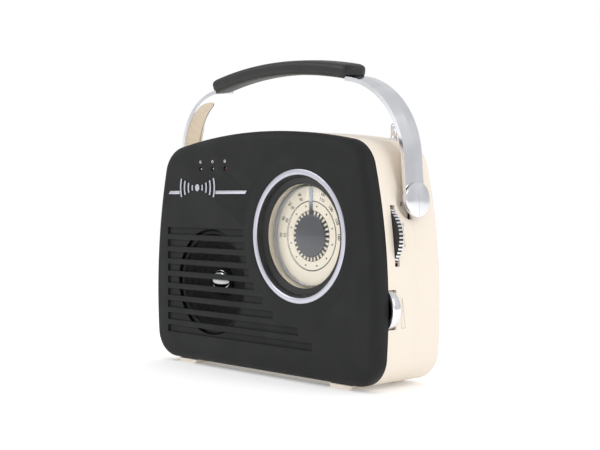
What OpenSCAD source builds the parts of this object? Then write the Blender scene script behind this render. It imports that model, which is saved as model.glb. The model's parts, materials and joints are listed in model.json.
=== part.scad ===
// Tabletop radio with a carrying handle: a two-tone case, a round tuning dial under a cup
// lens, a slotted speaker field, edge wheels for tuning and volume, and a pull-out aerial.
// Millimetres. +Z is up, the front faces -Y, and the origin is on the floor under the
// middle of the case. Most modules are drawn in the "face" frame: x to the right, y up,
// and z forward out of the front, so a depth is a height above the middle plane.

/* [Case] */
// Greatest half-width of the case, at the waist
case_half_w = 137.6; // [134:0.2:142]
// Height of the waist above the floor
waist_z = 62; // [55:1:70]
// Radius of the bowed sides
side_r = 458; // [420:2:500]
// Height of the arched top
case_top = 200.5; // [196:0.5:204]
// Radius of the arched top
arch_r = 560; // [500:5:640]
// Radius of the two top corners
top_corner_r = 27; // [24:1:32]
// Radius of the two bottom corners
base_corner_r = 24; // [22:1:28]
// Half of the case's depth
half_depth = 38; // [36:0.5:42]
// Depth of the front cover behind the front face
cover_depth = 12.8; // [11:0.2:14]
// Depth of the rear cover in front of the rear face
rear_depth = 8; // [8:0.5:10]
// Rounding of the front edge
front_round = 8.5; // [6:0.5:10]
// Rounding of the rear edge
rear_round = 6.5; // [4:0.5:7]
// Thickness of the moulded walls
wall = 2.4; // [2:0.1:2.6]
// Thickness of the front panel
panel_t = 3.2; // [3:0.1:3.6]

/* [Feet] */
// Height of the feet
foot_h = 3.5; // [3:0.5:6]
// Distance of each foot from the middle
foot_x = 95; // [80:1:100]
// Length of each foot across the case
foot_w = 25; // [18:1:30]

/* [Dial] */
// Dial centre, to the right of the middle
dial_x = 52.6; // [50:0.2:56]
// Dial centre, above the floor
dial_z = 115.6; // [112:0.2:118]
// Outer radius of the bright trim ring
ring_r = 53.15; // [52:0.05:56]
// Radius of the hole in the front panel
dial_hole_r = 48.4; // [47:0.1:49]
// Outer radius of the cup lens
lens_r = 41.2; // [40:0.1:42]
// Depth of the lens front, forward of the middle plane
lens_f = 32.6; // [31:0.1:33]
// Radius of the pointer's hub
hub_r = 17; // [14:0.5:19]
// Reach of the pointer from the dial centre
pointer_r = 38; // [34:0.5:39]

/* [Tuning drive] */
// Gear module
gear_m = 1; // [1:1:1]
// Teeth of the dial gear
dial_teeth = 90; // [90:6:90]
// Teeth of the pinion on the tuning wheel
pinion_teeth = 30; // [30:2:30]
// Radius of the tuning wheel
tuning_r = 28.5; // [27:0.1:29]
// Thickness of the tuning wheel
tuning_t = 4.3; // [4:0.1:4.4]
// Notches around the tuning wheel
tuning_notches = 60; // [40:2:80]

/* [Volume wheel] */
// Height of the volume wheel's centre
volume_z = 62.5; // [60:0.5:65]
// Radius of the volume wheel
volume_r = 17.6; // [17:0.1:17.8]
// How far the volume wheel stands out of the case
volume_proud = 5.4; // [4:0.1:6]

/* [Speaker] */
// Speaker centre, from the middle
speaker_x = -57.5; // [-60:0.5:-55]
// Speaker centre, above the floor
speaker_z = 73.5; // [70:0.5:76]
// Radius of the field where the slots are open
open_r = 45.5; // [40:0.5:47]
// Top edge of the first slot
slot_top_z = 119.7; // [118:0.1:121]
// Distance from slot to slot
slot_pitch = 10.87; // [10.5:0.01:11]
// Height of a slot
slot_h = 6.3; // [5:0.1:7]
// Left end of the slots
slot_left = -117; // [-119:0.5:-110]

/* [Handle] */
// Height of the handle's pivot
pivot_z = 144.6; // [143:0.2:146]
// Distance of the pivot behind the middle plane
pivot_y = 6.5; // [4:0.5:9]
// Forward lean of the handle at rest, in degrees
handle_lean = 5.5; // [0:0.5:6]
// Half-width over the arms
arm_half_w = 137.2; // [137:0.1:139]
// Thickness of an arm
arm_t = 4.3; // [4:0.1:4.8]
// Width of an arm
arm_w = 20.5; // [18:0.5:21]
// Radius of the bend at the top of an arm
arm_bend_r = 64; // [60:1:66]
// Height of the grip's top above the pivot
grip_top = 115.4; // [114:0.2:116]
// Radius of the grip's arch
grip_arch_r = 392; // [360:2:420]
// Width of the grip
grip_w = 24; // [22:0.5:26]
// Thickness of the grip
grip_t = 12; // [10:0.5:13]
// Half-length of the grip
grip_half_l = 88; // [85:1:92]

/* [Aerial] */
// Aerial, to the right of the middle
aerial_x = 100.5; // [96:0.5:101]
// Aerial, behind the middle plane
aerial_y = 23.8; // [22:0.1:24]
// Sections of the aerial that pull out
aerial_sections = 4; // [4:1:4]
// Length that each section pulls out
aerial_travel = 150; // [120:5:155]

/* [Hidden] */

base_z = foot_h;
cover_f = half_depth - cover_depth;
rear_f = -half_depth + rear_depth;
panel_f = half_depth - panel_t;
screw_r = 1.5;

// The outline: an arch, two corners, two bowed sides, two bottom corners and a flat base,
// each arc tangent to the next.
function circles_meet(a, ra, b, rb) =
    let (d = norm(b - a), u = (b - a) / d,
         t = (d * d + ra * ra - rb * rb) / (2 * d), h = sqrt(ra * ra - t * t))
    a + t * u - h * [-u[1], u[0]];
function direction(a, b) = atan2(b[1] - a[1], b[0] - a[0]);
function along(c, r, a) = c + r * [cos(a), sin(a)];
side_c = [case_half_w - side_r, waist_z];
arch_c = [0, case_top - arch_r];
top_c = let (p = circles_meet(side_c, side_r - top_corner_r, arch_c, arch_r - top_corner_r))
    p[1] > 0 ? p : circles_meet(arch_c, arch_r - top_corner_r, side_c, side_r - top_corner_r);
base_c = let (rise = base_z + base_corner_r - waist_z, r = side_r - base_corner_r)
    [side_c[0] + sqrt(r * r - rise * rise), base_z + base_corner_r];
arch_a = direction(arch_c, top_c);
side_top_a = direction(side_c, top_c);
side_low_a = direction(side_c, base_c);
function side_x(z) = side_c[0] + sqrt(side_r * side_r - pow(z - waist_z, 2));
function arch_z(x) = arch_c[1] + sqrt(arch_r * arch_r - x * x);
function steps(a, b, n, first = 0) = [for (i = [first:n]) a + (b - a) * i / n];
function right_side(inset) = concat(
    [for (a = steps(-90, side_low_a, 5)) along(base_c, base_corner_r - inset, a)],
    [for (a = steps(side_low_a, side_top_a, 7, 1)) along(side_c, side_r - inset, a)],
    [for (a = steps(side_top_a, arch_a, 5, 1)) along(top_c, top_corner_r - inset, a)],
    [for (a = steps(arch_a, 90, 6, 1)) along(arch_c, arch_r - inset, a)]);
function outline_points(inset) = let (right = right_side(inset), n = len(right))
    concat(right, [for (i = [n - 2:-1:0]) [-right[i][0], right[i][1]]]);

module face() rotate([90, 0, 0]) children();
module disc(x, z, f0, f1, r) translate([x, z, f0]) cylinder(h = f1 - f0, r = r, $fn = 96);
module block(x0, x1, z0, z1, f0, f1)
    translate([x0, z0, f0]) cube([x1 - x0, z1 - z0, f1 - f0]);
module turned(x, z) translate([x, z, 0]) rotate_extrude($fn = 128) children();

module panel(f0, f1, inset)
    translate([0, 0, f0]) linear_extrude(f1 - f0) polygon(outline_points(inset));
module ring_wall(f0, f1, inset, t) difference() {
    panel(f0, f1, inset);
    panel(f0 - 1, f1 + 1, inset + t);
}

// A slab of the outline whose far edge is rounded with radius r, from f0 to f1
round_steps = 3;
module rounded_slab(f0, f1, r, inset) {
    levels = concat([[f0, inset]], [for (a = steps(0, 90, round_steps))
        [f1 - r + r * sin(a), inset + r * (1 - cos(a))]]);
    n = len(outline_points(inset));
    last = (len(levels) - 1) * n;
    polyhedron(
        points = [for (level = levels, p = outline_points(level[1])) [p[0], p[1], level[0]]],
        faces = concat([[for (i = [0:n - 1]) i]], [[for (i = [n - 1:-1:0]) last + i]],
            [for (k = [0:len(levels) - 2], i = [0:n - 1]) let (j = (i + 1) % n)
                [k * n + i, (k + 1) * n + i, (k + 1) * n + j, k * n + j]]));
}
module shell(f0, f1, r, t, floor_t) difference() {
    rounded_slab(f0, f1, r, 0);
    rounded_slab(f0 - 1, f1 - floor_t, r - t, t);
}

// ---- front cover ----
column_at = [[112, 166], [122, 34], [-112, 166], [-122, 34], [0, 185]];
rib_half_t = 1;
board_post_at = [[8, 52], [14, 155], [106, 155], [104, 40]];
slot_right = [-13, -11, -9, -6, 0.5, 10.5, 24, 53.5, 69];
slot_depth = 1.8;
led_x = [-69.8, -53.4, -36.9];
led_z = 170.6;
led_hole_r = 1.9;
column_r = 4.6;
board_f = 6;
board_t = 1.6;
ring_seat = 1;

module slot_bars(f0, f1) for (i = [0:len(slot_right) - 1])
    let (top = slot_top_z - i * slot_pitch)
        block(slot_left, slot_right[i], top - slot_h, top, f0, f1);

speaker_screw_at = [for (a = [45, 135, 225, 315]) along([speaker_x, speaker_z], 54, a)];
speaker_flange_f = panel_f - 2.2;

module front_cover() color("#303130") face() difference() {
    union() {
        shell(cover_f, half_depth, front_round, wall, panel_t);
        for (p = column_at) disc(p[0], p[1], cover_f, panel_f + 0.5, column_r);
        for (p = board_post_at)
            disc(p[0], p[1], board_f + board_t, panel_f + 0.5, 3.5);
        for (p = speaker_screw_at)
            disc(p[0], p[1], speaker_flange_f, panel_f + 0.5, 3.5);
    }
    disc(dial_x, dial_z, panel_f - 1, half_depth + 1, dial_hole_r);
    disc(dial_x, dial_z, half_depth - ring_seat, half_depth + 1, ring_r);
    slot_bars(half_depth - slot_depth, half_depth + 1);
    intersection() {
        slot_bars(panel_f - 1, half_depth + 1);
        disc(speaker_x, speaker_z, panel_f - 1, half_depth + 1, open_r);
    }
    for (x = led_x) disc(x, led_z, panel_f - 1, half_depth + 1, led_hole_r);
    for (p = concat(column_at, board_post_at, speaker_screw_at))
        disc(p[0], p[1], board_f, panel_f - 2, screw_r);
}

// ---- main case ----
tuning_f = 12;
tuning_x = dial_x + gear_m * (dial_teeth + pinion_teeth) / 2;
tuning_slot_z = [94.5, 140.4];
volume_slot_z = [volume_z - 15, volume_z + 15];
volume_f = 17;
volume_t = 7.4;
volume_x = side_x(volume_z) + volume_proud - volume_r;
recess_r = 15.5;
recess_x = 127.6;
channel_r = 30;
channel_tilt = 10.6;
channel_depth = 2.2;
channel_x = side_x(pivot_z) + channel_r - channel_depth;
channel_low = 8;
pad_t = 8;
pad_half_w = 17;
bush_hole_r = 5.5;

module pivot_frame(s) mirror([s, 0, 0])
    translate([0, pivot_y, pivot_z]) rotate([handle_lean, 0, 0]) children();

// The thick pads behind the pivots and the arm channels
module case_pads() intersection() {
    ring_wall(-pivot_y - pad_half_w, -pivot_y + pad_half_w, 0, pad_t);
    for (s = [0, 1]) mirror([s, 0, 0])
        block(94, 150, pivot_z - 20, 210, -pivot_y - 50, -pivot_y + 50);
}

ledge_f = 2.5;
// A rib from a screw column out to the side wall, or up to the top for the middle column
module column_rib(p) {
    if (p[0] > 0) block(p[0], side_x(p[1]) - 1, p[1] - rib_half_t, p[1] + rib_half_t,
        rear_f + 1, cover_f - 1);
    if (p[0] < 0) block(1 - side_x(p[1]), p[0], p[1] - rib_half_t, p[1] + rib_half_t,
        rear_f + 1, cover_f - 1);
    if (p[0] == 0) block(-rib_half_t, rib_half_t, p[1], arch_z(0) - 1, rear_f + 1, cover_f - 1);
}

module main_case() color("#f0e8dc") difference() {
    face() union() {
        ring_wall(rear_f, cover_f, 0, wall);
        case_pads();
        for (p = column_at) disc(p[0], p[1], rear_f, cover_f, column_r);
        for (p = column_at) column_rib(p);
        ring_wall(ledge_f, ledge_f + 2, wall / 2, wall + 1.4);
    }
    face() {
        for (p = column_at) disc(p[0], p[1], rear_f - 1, cover_f + 1, screw_r + 0.2);
        block(120, 150, tuning_slot_z[0], tuning_slot_z[1], tuning_f - 0.4,
            tuning_f + tuning_t + 0.4);
        block(128, 150, volume_slot_z[0], volume_slot_z[1], volume_f - 0.5, cover_f + 1);
    }
    for (s = [0, 1]) mirror([s, 0, 0]) {
        translate([recess_x, pivot_y, pivot_z]) rotate([0, 90, 0])
            cylinder(h = 20, r = recess_r, $fn = 96);
        translate([100, pivot_y, pivot_z]) rotate([0, 90, 0])
            cylinder(h = 40, r = bush_hole_r, $fn = 64);
        translate([118, pivot_y - 7.6, pivot_z - 4.6]) cube([14, 2.6, 2.8]);
        translate([channel_x, pivot_y, pivot_z]) rotate([handle_lean, 0, 0])
            rotate([0, -channel_tilt, 0]) translate([0, 0, channel_low])
            linear_extrude(80) polygon(concat([[6, -16], [6, 16]],
                [for (a = steps(180 - 28, 180 + 28, 7)) along([0, 0], channel_r, a)]));
    }
    translate([aerial_x, aerial_y, 150]) cylinder(h = 60, r = aerial_hole_r, $fn = 64);
}

// ---- rear cover, door and cells ----
rear_panel_t = 3.2;
bay_x = [-58.4, 50.4];
bay_z = [13.6, 70.4];
bay_f = -8.6;
bay_wall = 1.6;
door_lap = 2.3;
door_t = 1.6;
door_seat = 2.1;
door_gap = 0.3;
door_hinge_z = 12.6;
inlet_at = [80, 66];
aux_at = [66, 94];
phones_at = [88, 94];
switch_at = [18, 94];
switch_travel = 4;
jack_r = 1.8;
jack_nut_r = 4.4;
cell_r = 13.1;
cell_l = 50;
cell_gap = 0.7;
vent_n = 7;

module rear_cover() color("#f0e8dc") face() difference() {
    union() {
        mirror([0, 0, 1]) shell(-rear_f, half_depth, rear_round, wall, rear_panel_t);
        for (p = column_at) disc(p[0], p[1], rear_panel_t - half_depth - 0.5, rear_f, column_r);
        block(bay_x[0] - bay_wall, bay_x[1] + bay_wall, bay_z[0] - bay_wall,
            bay_z[1] + bay_wall, rear_panel_t - half_depth - 0.5, bay_f + bay_wall);
    }
    block(bay_x[0], bay_x[1], bay_z[0], bay_z[1], -half_depth - 1, bay_f);
    block(bay_x[0] - door_lap - door_gap, bay_x[1] + door_lap + door_gap,
        bay_z[0] - door_lap - 0.1, bay_z[1] + door_lap + door_gap, -half_depth - 1,
        door_seat - half_depth);
    for (p = column_at) {
        disc(p[0], p[1], -half_depth - 1, rear_f + 1, screw_r + 0.2);
        disc(p[0], p[1], -half_depth - 1, 2.6 - half_depth, 3.1);
    }
    block(inlet_at[0] - 11, inlet_at[0] + 11, inlet_at[1] - 7, inlet_at[1] + 7,
        -half_depth - 1, rear_f);
    for (p = [aux_at, phones_at]) disc(p[0], p[1], -half_depth - 1, rear_f, jack_nut_r + 0.1);
    block(switch_at[0] - 8, switch_at[0] + 8, switch_at[1] - 2.2, switch_at[1] + 2.2,
        -half_depth - 1, rear_f);
    for (i = [0:vent_n - 1])
        block(-80, -30, 110 + i * 7, 113 + i * 7, -half_depth - 1, rear_f);
}

module battery_door() color("#f0e8dc") face() {
    block(bay_x[0] - door_lap, bay_x[1] + door_lap, door_hinge_z, bay_z[1] + door_lap,
        -half_depth, door_t - half_depth);
    along_x(bay_x[0] - door_lap, bay_x[1] + door_lap, door_hinge_z, door_t / 2 - half_depth,
        door_t / 2);
    block(-14, 6, bay_z[1] - 4, bay_z[1] - 2.6, door_t - half_depth, door_t - half_depth + 5);
    for (i = [0:5]) block(-11, 3, 56 + i * 2, 57 + i * 2, -half_depth - 0.4, -half_depth);
}

module cell_places() for (i = [0, 1], j = [0, 1])
    translate([(bay_x[0] + bay_x[1]) / 2 + (i - 0.5) * (cell_l + cell_gap) - cell_l / 2,
        (bay_z[0] + bay_z[1]) / 2 + (j - 0.5) * (2 * cell_r + cell_gap),
        bay_f - cell_r - 0.3]) rotate([0, 90, 0]) children();

module batteries() color("#c88a3c") face() cell_places() {
    cylinder(h = cell_l - 2, r = cell_r, $fn = 64);
    translate([0, 0, cell_l - 2]) cylinder(h = 2, r = 3, $fn = 32);
}

contact_t = 0.4;
module battery_contacts() color("#c9c9c4") face() for (j = [0, 1])
    let (z = (bay_z[0] + bay_z[1]) / 2 + (j - 0.5) * (2 * cell_r + cell_gap)) {
        block(bay_x[1] - contact_t, bay_x[1], z - 9, z + 9, bay_f - 22, bay_f - 4);
        block(bay_x[0], bay_x[0] + contact_t, z - 9, z + 9, bay_f - 22, bay_f - 4);
    }

spring_wire = 0.5;
module battery_springs() color("#d6d6d2") face() for (j = [0, 1])
    translate([bay_x[0] + contact_t, (bay_z[0] + bay_z[1]) / 2 + (j - 0.5) * (2 * cell_r + cell_gap),
        bay_f - cell_r - 0.3]) rotate([0, 90, 0]) for (i = [0:2])
            translate([0, 0, 0.5 + i]) rotate_extrude($fn = 48)
                translate([6.5 - i, 0]) circle(spring_wire, $fn = 24);

// ---- dial ----
plate_f = 21.7;
plate_t = 1.2;
plate_top = plate_f + plate_t;
pointer_f = plate_top + 0.2;
pointer_w = 3.4;
needle_t = 0.7;
shaft_r = 2.5;
gear_f = 18;
gear_t = 2.5;

module dial_ring() color("#d6d6e0") face() turned(dial_x, dial_z)
    polygon([[dial_hole_r + 0.1, half_depth - ring_seat], [ring_r - 0.05, half_depth - ring_seat],
        [ring_r - 0.05, half_depth + 0.3], [ring_r - 0.6, half_depth + 0.8],
        [dial_hole_r + 0.8, half_depth + 0.8], [dial_hole_r + 0.1, half_depth + 0.2]]);

module dial_bezel() color("#1e1f20") face() turned(dial_x, dial_z)
    polygon([[lens_r + 0.1, plate_top], [dial_hole_r - 0.1, plate_top],
        [dial_hole_r - 0.1, half_depth - 0.8], [dial_hole_r - 1.2, half_depth - 0.8],
        [dial_hole_r - 2.2, lens_f + 1.2], [lens_r + 1.2, lens_f + 0.4],
        [lens_r + 0.1, lens_f - 0.6]]);

module dial_lens() color([0.85, 0.9, 0.95, 0.3]) face() turned(dial_x, dial_z)
    polygon([[lens_r - 1.6, plate_top], [lens_r, plate_top], [lens_r, lens_f - 1],
        [lens_r - 1, lens_f], [0, lens_f], [0, lens_f - 1.6], [lens_r - 1.6, lens_f - 1.6]]);

module dial_plate() color("#e8deca") face() difference() {
    disc(dial_x, dial_z, plate_f, plate_top, dial_hole_r - 0.1);
    disc(dial_x, dial_z, plate_f - 1, plate_top + 1, shaft_r + 0.5);
}

module dial_pointer() color("#303234") face() difference() {
    union() {
        disc(dial_x, dial_z, pointer_f, pointer_f + needle_t, 9);
        block(dial_x - pointer_w / 2, dial_x + pointer_w / 2, dial_z, dial_z + pointer_r,
            pointer_f, pointer_f + needle_t);
    }
    disc(dial_x, dial_z, pointer_f - 1, pointer_f + needle_t + 1, shaft_r);
}

module dial_hub_cap() color("#5a5c61") face() turned(dial_x, dial_z)
    polygon([[0, pointer_f + needle_t], [hub_r, pointer_f + needle_t],
        [hub_r, pointer_f + needle_t + 0.6], [hub_r - 0.4, pointer_f + needle_t + 1],
        [0, pointer_f + needle_t + 1]]);

// A spur gear about the origin, with involute flanks and a little backlash
pressure_a = 20;
function roll_angle(r, base) = r <= base ? 0 : sqrt(r * r / (base * base) - 1) * 180 / PI
    - acos(base / r);
function flank_angle(teeth, r) =
    let (pitch = gear_m * teeth / 2, base = pitch * cos(pressure_a))
    84 / teeth + roll_angle(pitch, base) - roll_angle(r, base);
function gear_points(teeth) =
    let (pitch = gear_m * teeth / 2, root = pitch - 1.3 * gear_m, tip = pitch + 0.9 * gear_m,
         radii = [root, pitch - 0.4 * gear_m, pitch + 0.3 * gear_m, tip])
    [for (i = [0:teeth - 1], side = [-1, 1], k = [0:3])
        let (r = radii[side < 0 ? k : 3 - k], a = i * 360 / teeth + side * flank_angle(teeth, r))
        along([0, 0], r, a)];
module spur_gear(x, z, f, t, teeth, turn, bore) translate([x, z, f]) difference() {
    rotate([0, 0, turn]) linear_extrude(t) polygon(gear_points(teeth));
    translate([0, 0, -1]) cylinder(h = t + 2, r = bore, $fn = 64);
}

module dial_gear() color("#e6e2d6") face() difference() {
    spur_gear(dial_x, dial_z, gear_f, gear_t, dial_teeth, 0, shaft_r);
    for (a = [30:60:330]) let (p = along([dial_x, dial_z], 26, a))
        disc(p[0], p[1], gear_f - 1, gear_f + gear_t + 1, 9);
}

module tuning_shaft() color("#b8b8b4") face()
    disc(dial_x, dial_z, board_f + board_t + 6, pointer_f + needle_t, shaft_r);

module tuning_capacitor() color("#dcd8c8") face() difference() {
    union() {
        block(dial_x - 11, dial_x + 11, dial_z - 11, dial_z + 11, board_f + board_t, gear_f - 2.4);
        disc(dial_x, dial_z, gear_f - 3, gear_f - 1, 5);
    }
    disc(dial_x, dial_z, board_f + board_t + 5.6, gear_f, shaft_r + 0.06);
}

axle_r = 2;
run_gap = 0.06;
pinion_f = tuning_f + tuning_t;
module tuning_wheel() color("#cfd0d4") face() difference() {
    translate([tuning_x, dial_z, tuning_f]) linear_extrude(tuning_t)
        polygon([for (i = [0:tuning_notches - 1], k = [0:3])
            along([0, 0], tuning_r - (k < 2 ? 0 : 0.9), (i + [0, 0.45, 0.6, 0.85][k]) * 360 / tuning_notches)]);
    disc(tuning_x, dial_z, tuning_f - 1, tuning_f + tuning_t + 1, axle_r + run_gap);
    translate([tuning_x, dial_z, tuning_f - 1]) difference() {
        cylinder(h = 2.2, r = tuning_r - 4, $fn = 96);
        cylinder(h = 2.2, r = 8, $fn = 64);
    }
}

module tuning_pinion() color("#e6e2d6") face() {
    spur_gear(tuning_x, dial_z, gear_f - 0.4, gear_t + 0.8, pinion_teeth, 180 + 180 / pinion_teeth,
        axle_r + run_gap);
    difference() {
        disc(tuning_x, dial_z, pinion_f, gear_f - 0.4, 8);
        disc(tuning_x, dial_z, pinion_f - 1, gear_f, axle_r + run_gap);
    }
}

module tuning_axle() color("#a9aaac") face() {
    disc(tuning_x, dial_z, board_f + board_t, board_f + board_t + 1.4, 5);
    disc(tuning_x, dial_z, board_f + board_t + 1.4, tuning_f - 0.3, 3.2);
    disc(tuning_x, dial_z, tuning_f - 0.3, gear_f + gear_t + 0.8, axle_r);
    disc(tuning_x, dial_z, gear_f + gear_t + 0.8, gear_f + gear_t + 2.2, 3.2);
}

// ---- volume ----
pot_r = 8;
pot_shaft_r = 2.9;
module volume_wheel() color("#d4d5d9") face() difference() {
    turned(volume_x, volume_z) polygon([[0, volume_f], [volume_r - 0.5, volume_f],
        [volume_r, volume_f + 0.5], [volume_r, volume_f + volume_t - 0.5],
        [volume_r - 0.5, volume_f + volume_t], [volume_r - 3, volume_f + volume_t],
        [volume_r - 4, volume_f + volume_t - 1.5], [0, volume_f + volume_t - 1.5]]);
    disc(volume_x, volume_z, volume_f - 1, volume_f + 3.5, pot_shaft_r + run_gap);
}

module volume_pot() color("#8d8f92") face() {
    disc(volume_x, volume_z, board_f + 2, volume_f - 0.4, pot_r);
    disc(volume_x, volume_z, volume_f - 0.4, volume_f + 3.2, pot_shaft_r);
    block(108, volume_x, volume_z - 6, volume_z + 6, board_f + board_t, board_f + board_t + 1.4);
}

module volume_screw() color("#b9babc") face() difference() {
    disc(volume_x, volume_z, volume_f + volume_t - 1.5, volume_f + volume_t - 0.2, 2.8);
    block(volume_x - 2, volume_x + 2, volume_z - 0.4, volume_z + 0.4, volume_f + volume_t - 0.8,
        volume_f + volume_t);
}

// ---- band switch ----
module band_switch_knob() color("#202122") face() {
    block(switch_at[0] - 2.5, switch_at[0] + 2.5, switch_at[1] - 1.7, switch_at[1] + 1.7,
        -half_depth - 1, -half_depth + 3.6);
    block(switch_at[0] - 6, switch_at[0] + 6, switch_at[1] - 3.4, switch_at[1] + 3.4,
        -half_depth + 3.6, -half_depth + 4.6);
}
module band_switch_body() color("#9a9c9e") face()
    block(switch_at[0] - 14, switch_at[0] + 14, switch_at[1] - 5, switch_at[1] + 5,
        -half_depth + 5, -half_depth + 11);

// ---- speaker ----
speaker_f = speaker_flange_f - 1.6;
module speaker_turned() face() turned(speaker_x, speaker_z) children();
module speaker_frame() color("#3a3b3d") {
    speaker_turned() polygon([[45, speaker_f + 1.6], [52, speaker_f + 1.6], [52, speaker_f],
        [46.2, speaker_f], [25, 14], [12, 14], [12, 15.2], [24, 15.2], [45, speaker_f + 0.4]]);
    face() for (p = speaker_screw_at) difference() {
        disc(p[0], p[1], speaker_f, speaker_f + 1.6, 5);
        disc(p[0], p[1], speaker_f - 1, speaker_f + 3, screw_r + 0.2);
        disc(speaker_x, speaker_z, speaker_f - 1, speaker_f + 3, 50);
    }
}
module speaker_surround() color("#1c1c1d") speaker_turned()
    polygon([[40, speaker_f + 0.4], [45, speaker_f + 0.4], [45, speaker_f + 1.2],
        [43.8, speaker_f + 2.6], [42.4, speaker_f + 3], [41, speaker_f + 2.6],
        [40, speaker_f + 1.2]]);
module speaker_cone() color("#2a2a2b") speaker_turned()
    polygon([[12, 20], [40, speaker_f + 0.4], [40, speaker_f + 1.2], [12, 21]]);
module speaker_dust_cap() color("#c6c7cb") speaker_turned()
    polygon([[0, 20], [12, 20], [12, 26], [10, 28], [7, 29.3], [0, 30]]);
module speaker_magnet() color("#55575a") speaker_turned()
    polygon([[0, 1], [26, 1], [26, 3], [28, 3], [28, 12], [25, 12], [25, 14], [12, 14], [12, 15.2],
        [0, 15.2]]);
module speaker_screws() color("#c4c5c8") face() for (p = speaker_screw_at) {
    disc(p[0], p[1], speaker_f - 1.6, speaker_f, 2.9);
    disc(p[0], p[1], speaker_f, panel_f - 2.2, screw_r - 0.1);
}

// ---- electronics ----
module main_board() color("#9a7b3c") face() difference() {
    block(2, 118, 34, 161, board_f, board_f + board_t);
    for (p = board_post_at) disc(p[0], p[1], 0, 20, screw_r + 0.2);
}
module board_screws() color("#b9babc") face() for (p = board_post_at) {
    disc(p[0], p[1], board_f - 1.6, board_f, 2.8);
    disc(p[0], p[1], board_f, board_f + 9, screw_r - 0.1);
}
module power_amp() color("#1b1c1e") face()
    block(24, 44, 56, 64, board_f + board_t, board_f + board_t + 4);
module heat_sink() color("#b4b6b9") face() {
    block(24, 44, 52, 56, board_f + board_t, board_f + board_t + 12);
    for (i = [0:4]) block(24 + i * 4.6, 25.6 + i * 4.6, 44, 52, board_f + board_t,
        board_f + board_t + 12);
}
module filter_capacitors() color("#263a6b") face() for (i = [0:2])
    disc(58 + i * 14, 48, board_f + board_t, board_f + board_t + 16, 5);
module led_board() color("#2f6b3f") face()
    block(-79, -27, led_z - 5.5, led_z + 5.5, 26, 27.6);
module led_lamps() face() for (i = [0:2]) color(i < 2 ? "#e8eef2" : "#b02020")
    translate([led_x[i], led_z, 27.6]) {
        cylinder(h = 8, r = 1.5, $fn = 32);
        translate([0, 0, 8]) sphere(r = 1.5, $fn = 32);
    }

rod_z = 178;
rod_f = -6;
module along_x(x0, x1, z, f, r) translate([x0, z, f]) rotate([0, 90, 0])
    cylinder(h = x1 - x0, r = r, $fn = 64);
module ferrite_rod() color("#3b3634") face() along_x(-98, -14, rod_z, rod_f, 5);
module ferrite_coil() color("#b5652b") face() difference() {
    along_x(-66, -40, rod_z, rod_f, 6.4);
    along_x(-67, -39, rod_z, rod_f, 5);
}
module rod_holders() color("#e6e2d6") face() for (x = [-88, -26]) difference() {
    block(x - 2, x + 2, rod_z - 7, arch_z(x) - wall - 0.6, rod_f - 7, rod_f + 7);
    along_x(x - 3, x + 3, rod_z, rod_f, 5);
}

iron_x = [60, 94];
iron_z = [6, 40];
iron_f = [-26, -10];
window_z = [12, 34];
module transformer_core() color("#6d6f72") face() difference() {
    block(iron_x[0], iron_x[1], iron_z[0], iron_z[1], iron_f[0], iron_f[1]);
    for (x = [66, 83]) block(x, x + 5, window_z[0], window_z[1], iron_f[0] - 1, iron_f[1] + 1);
}
module transformer_coil() color("#b5742b") face() difference() {
    block(66.2, 87.8, window_z[0] + 0.2, window_z[1] - 0.2, iron_f[0] - 3.5, iron_f[1] + 5);
    block(71, 83, window_z[0] - 1, window_z[1] + 1, iron_f[0], iron_f[1]);
}

inlet_depth = 13;
module mains_inlet() color("#191a1b") face() {
    difference() {
        block(inlet_at[0] - 10.9, inlet_at[0] + 10.9, inlet_at[1] - 6.9, inlet_at[1] + 6.9,
            -half_depth, -half_depth + 18);
        block(inlet_at[0] - 4, inlet_at[0] + 4, inlet_at[1] - 4.2, inlet_at[1] + 4.2,
            -half_depth - 1, -half_depth + inlet_depth);
        for (s = [-1, 1])
            disc(inlet_at[0] + s * 4, inlet_at[1], -half_depth - 1, -half_depth + inlet_depth, 4.2);
    }
    for (s = [-1, 1])
        disc(inlet_at[0] + s * 4.3, inlet_at[1], -half_depth + 2, -half_depth + inlet_depth, 1.1);
}
module jack(p) face() difference() {
    union() {
        disc(p[0], p[1], -half_depth - 0.6, rear_f + 4, jack_nut_r);
        block(p[0] - 6, p[0] + 6, p[1] - 6, p[1] + 6, rear_f - 4.2, rear_f + 8);
    }
    disc(p[0], p[1], -half_depth - 1, rear_f + 6, jack_r);
}
module aux_jack() color("#26272a") jack(aux_at);
module headphone_jack() color("#26272a") jack(phones_at);

module case_screws() color("#b9babc") face() for (p = column_at) {
    disc(p[0], p[1], -half_depth + 0.8, -half_depth + 2.6, 2.8);
    disc(p[0], p[1], -half_depth + 2.6, panel_f - 2.4, screw_r - 0.1);
}

// ---- trim and feet ----
bar_z = 150.5;
bar_x = [-114.5, -7.3];
motif_x = -73.5;
motif_z = 154.5;
motif_r = [7, 12.5, 18, 23.5];
motif_a = 20;
bar_w = 2.8;
trim_t = 0.9;
module trim_bar() color("#d6d6e0") face() translate([0, 0, half_depth]) {
    linear_extrude(trim_t) for (s = [0, 1]) let (x0 = s == 0 ? bar_x[0] : motif_x + 25,
            x1 = s == 0 ? motif_x - 25 : bar_x[1])
        polygon([[x0, bar_z - bar_w / 2], [x1 - s * 2.5, bar_z - bar_w / 2],
            [x1, bar_z + bar_w / 2], [x0 + (1 - s) * 2.5, bar_z + bar_w / 2]]);
    translate([motif_x, motif_z, 0]) {
        cylinder(h = trim_t, r = 3, $fn = 48);
        for (r = motif_r, a = [-motif_a, 180 - motif_a]) rotate([0, 0, a])
            rotate_extrude(angle = 2 * motif_a, $fn = 96) translate([r - 0.9, 0])
                square([1.8, trim_t]);
    }
}

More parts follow.
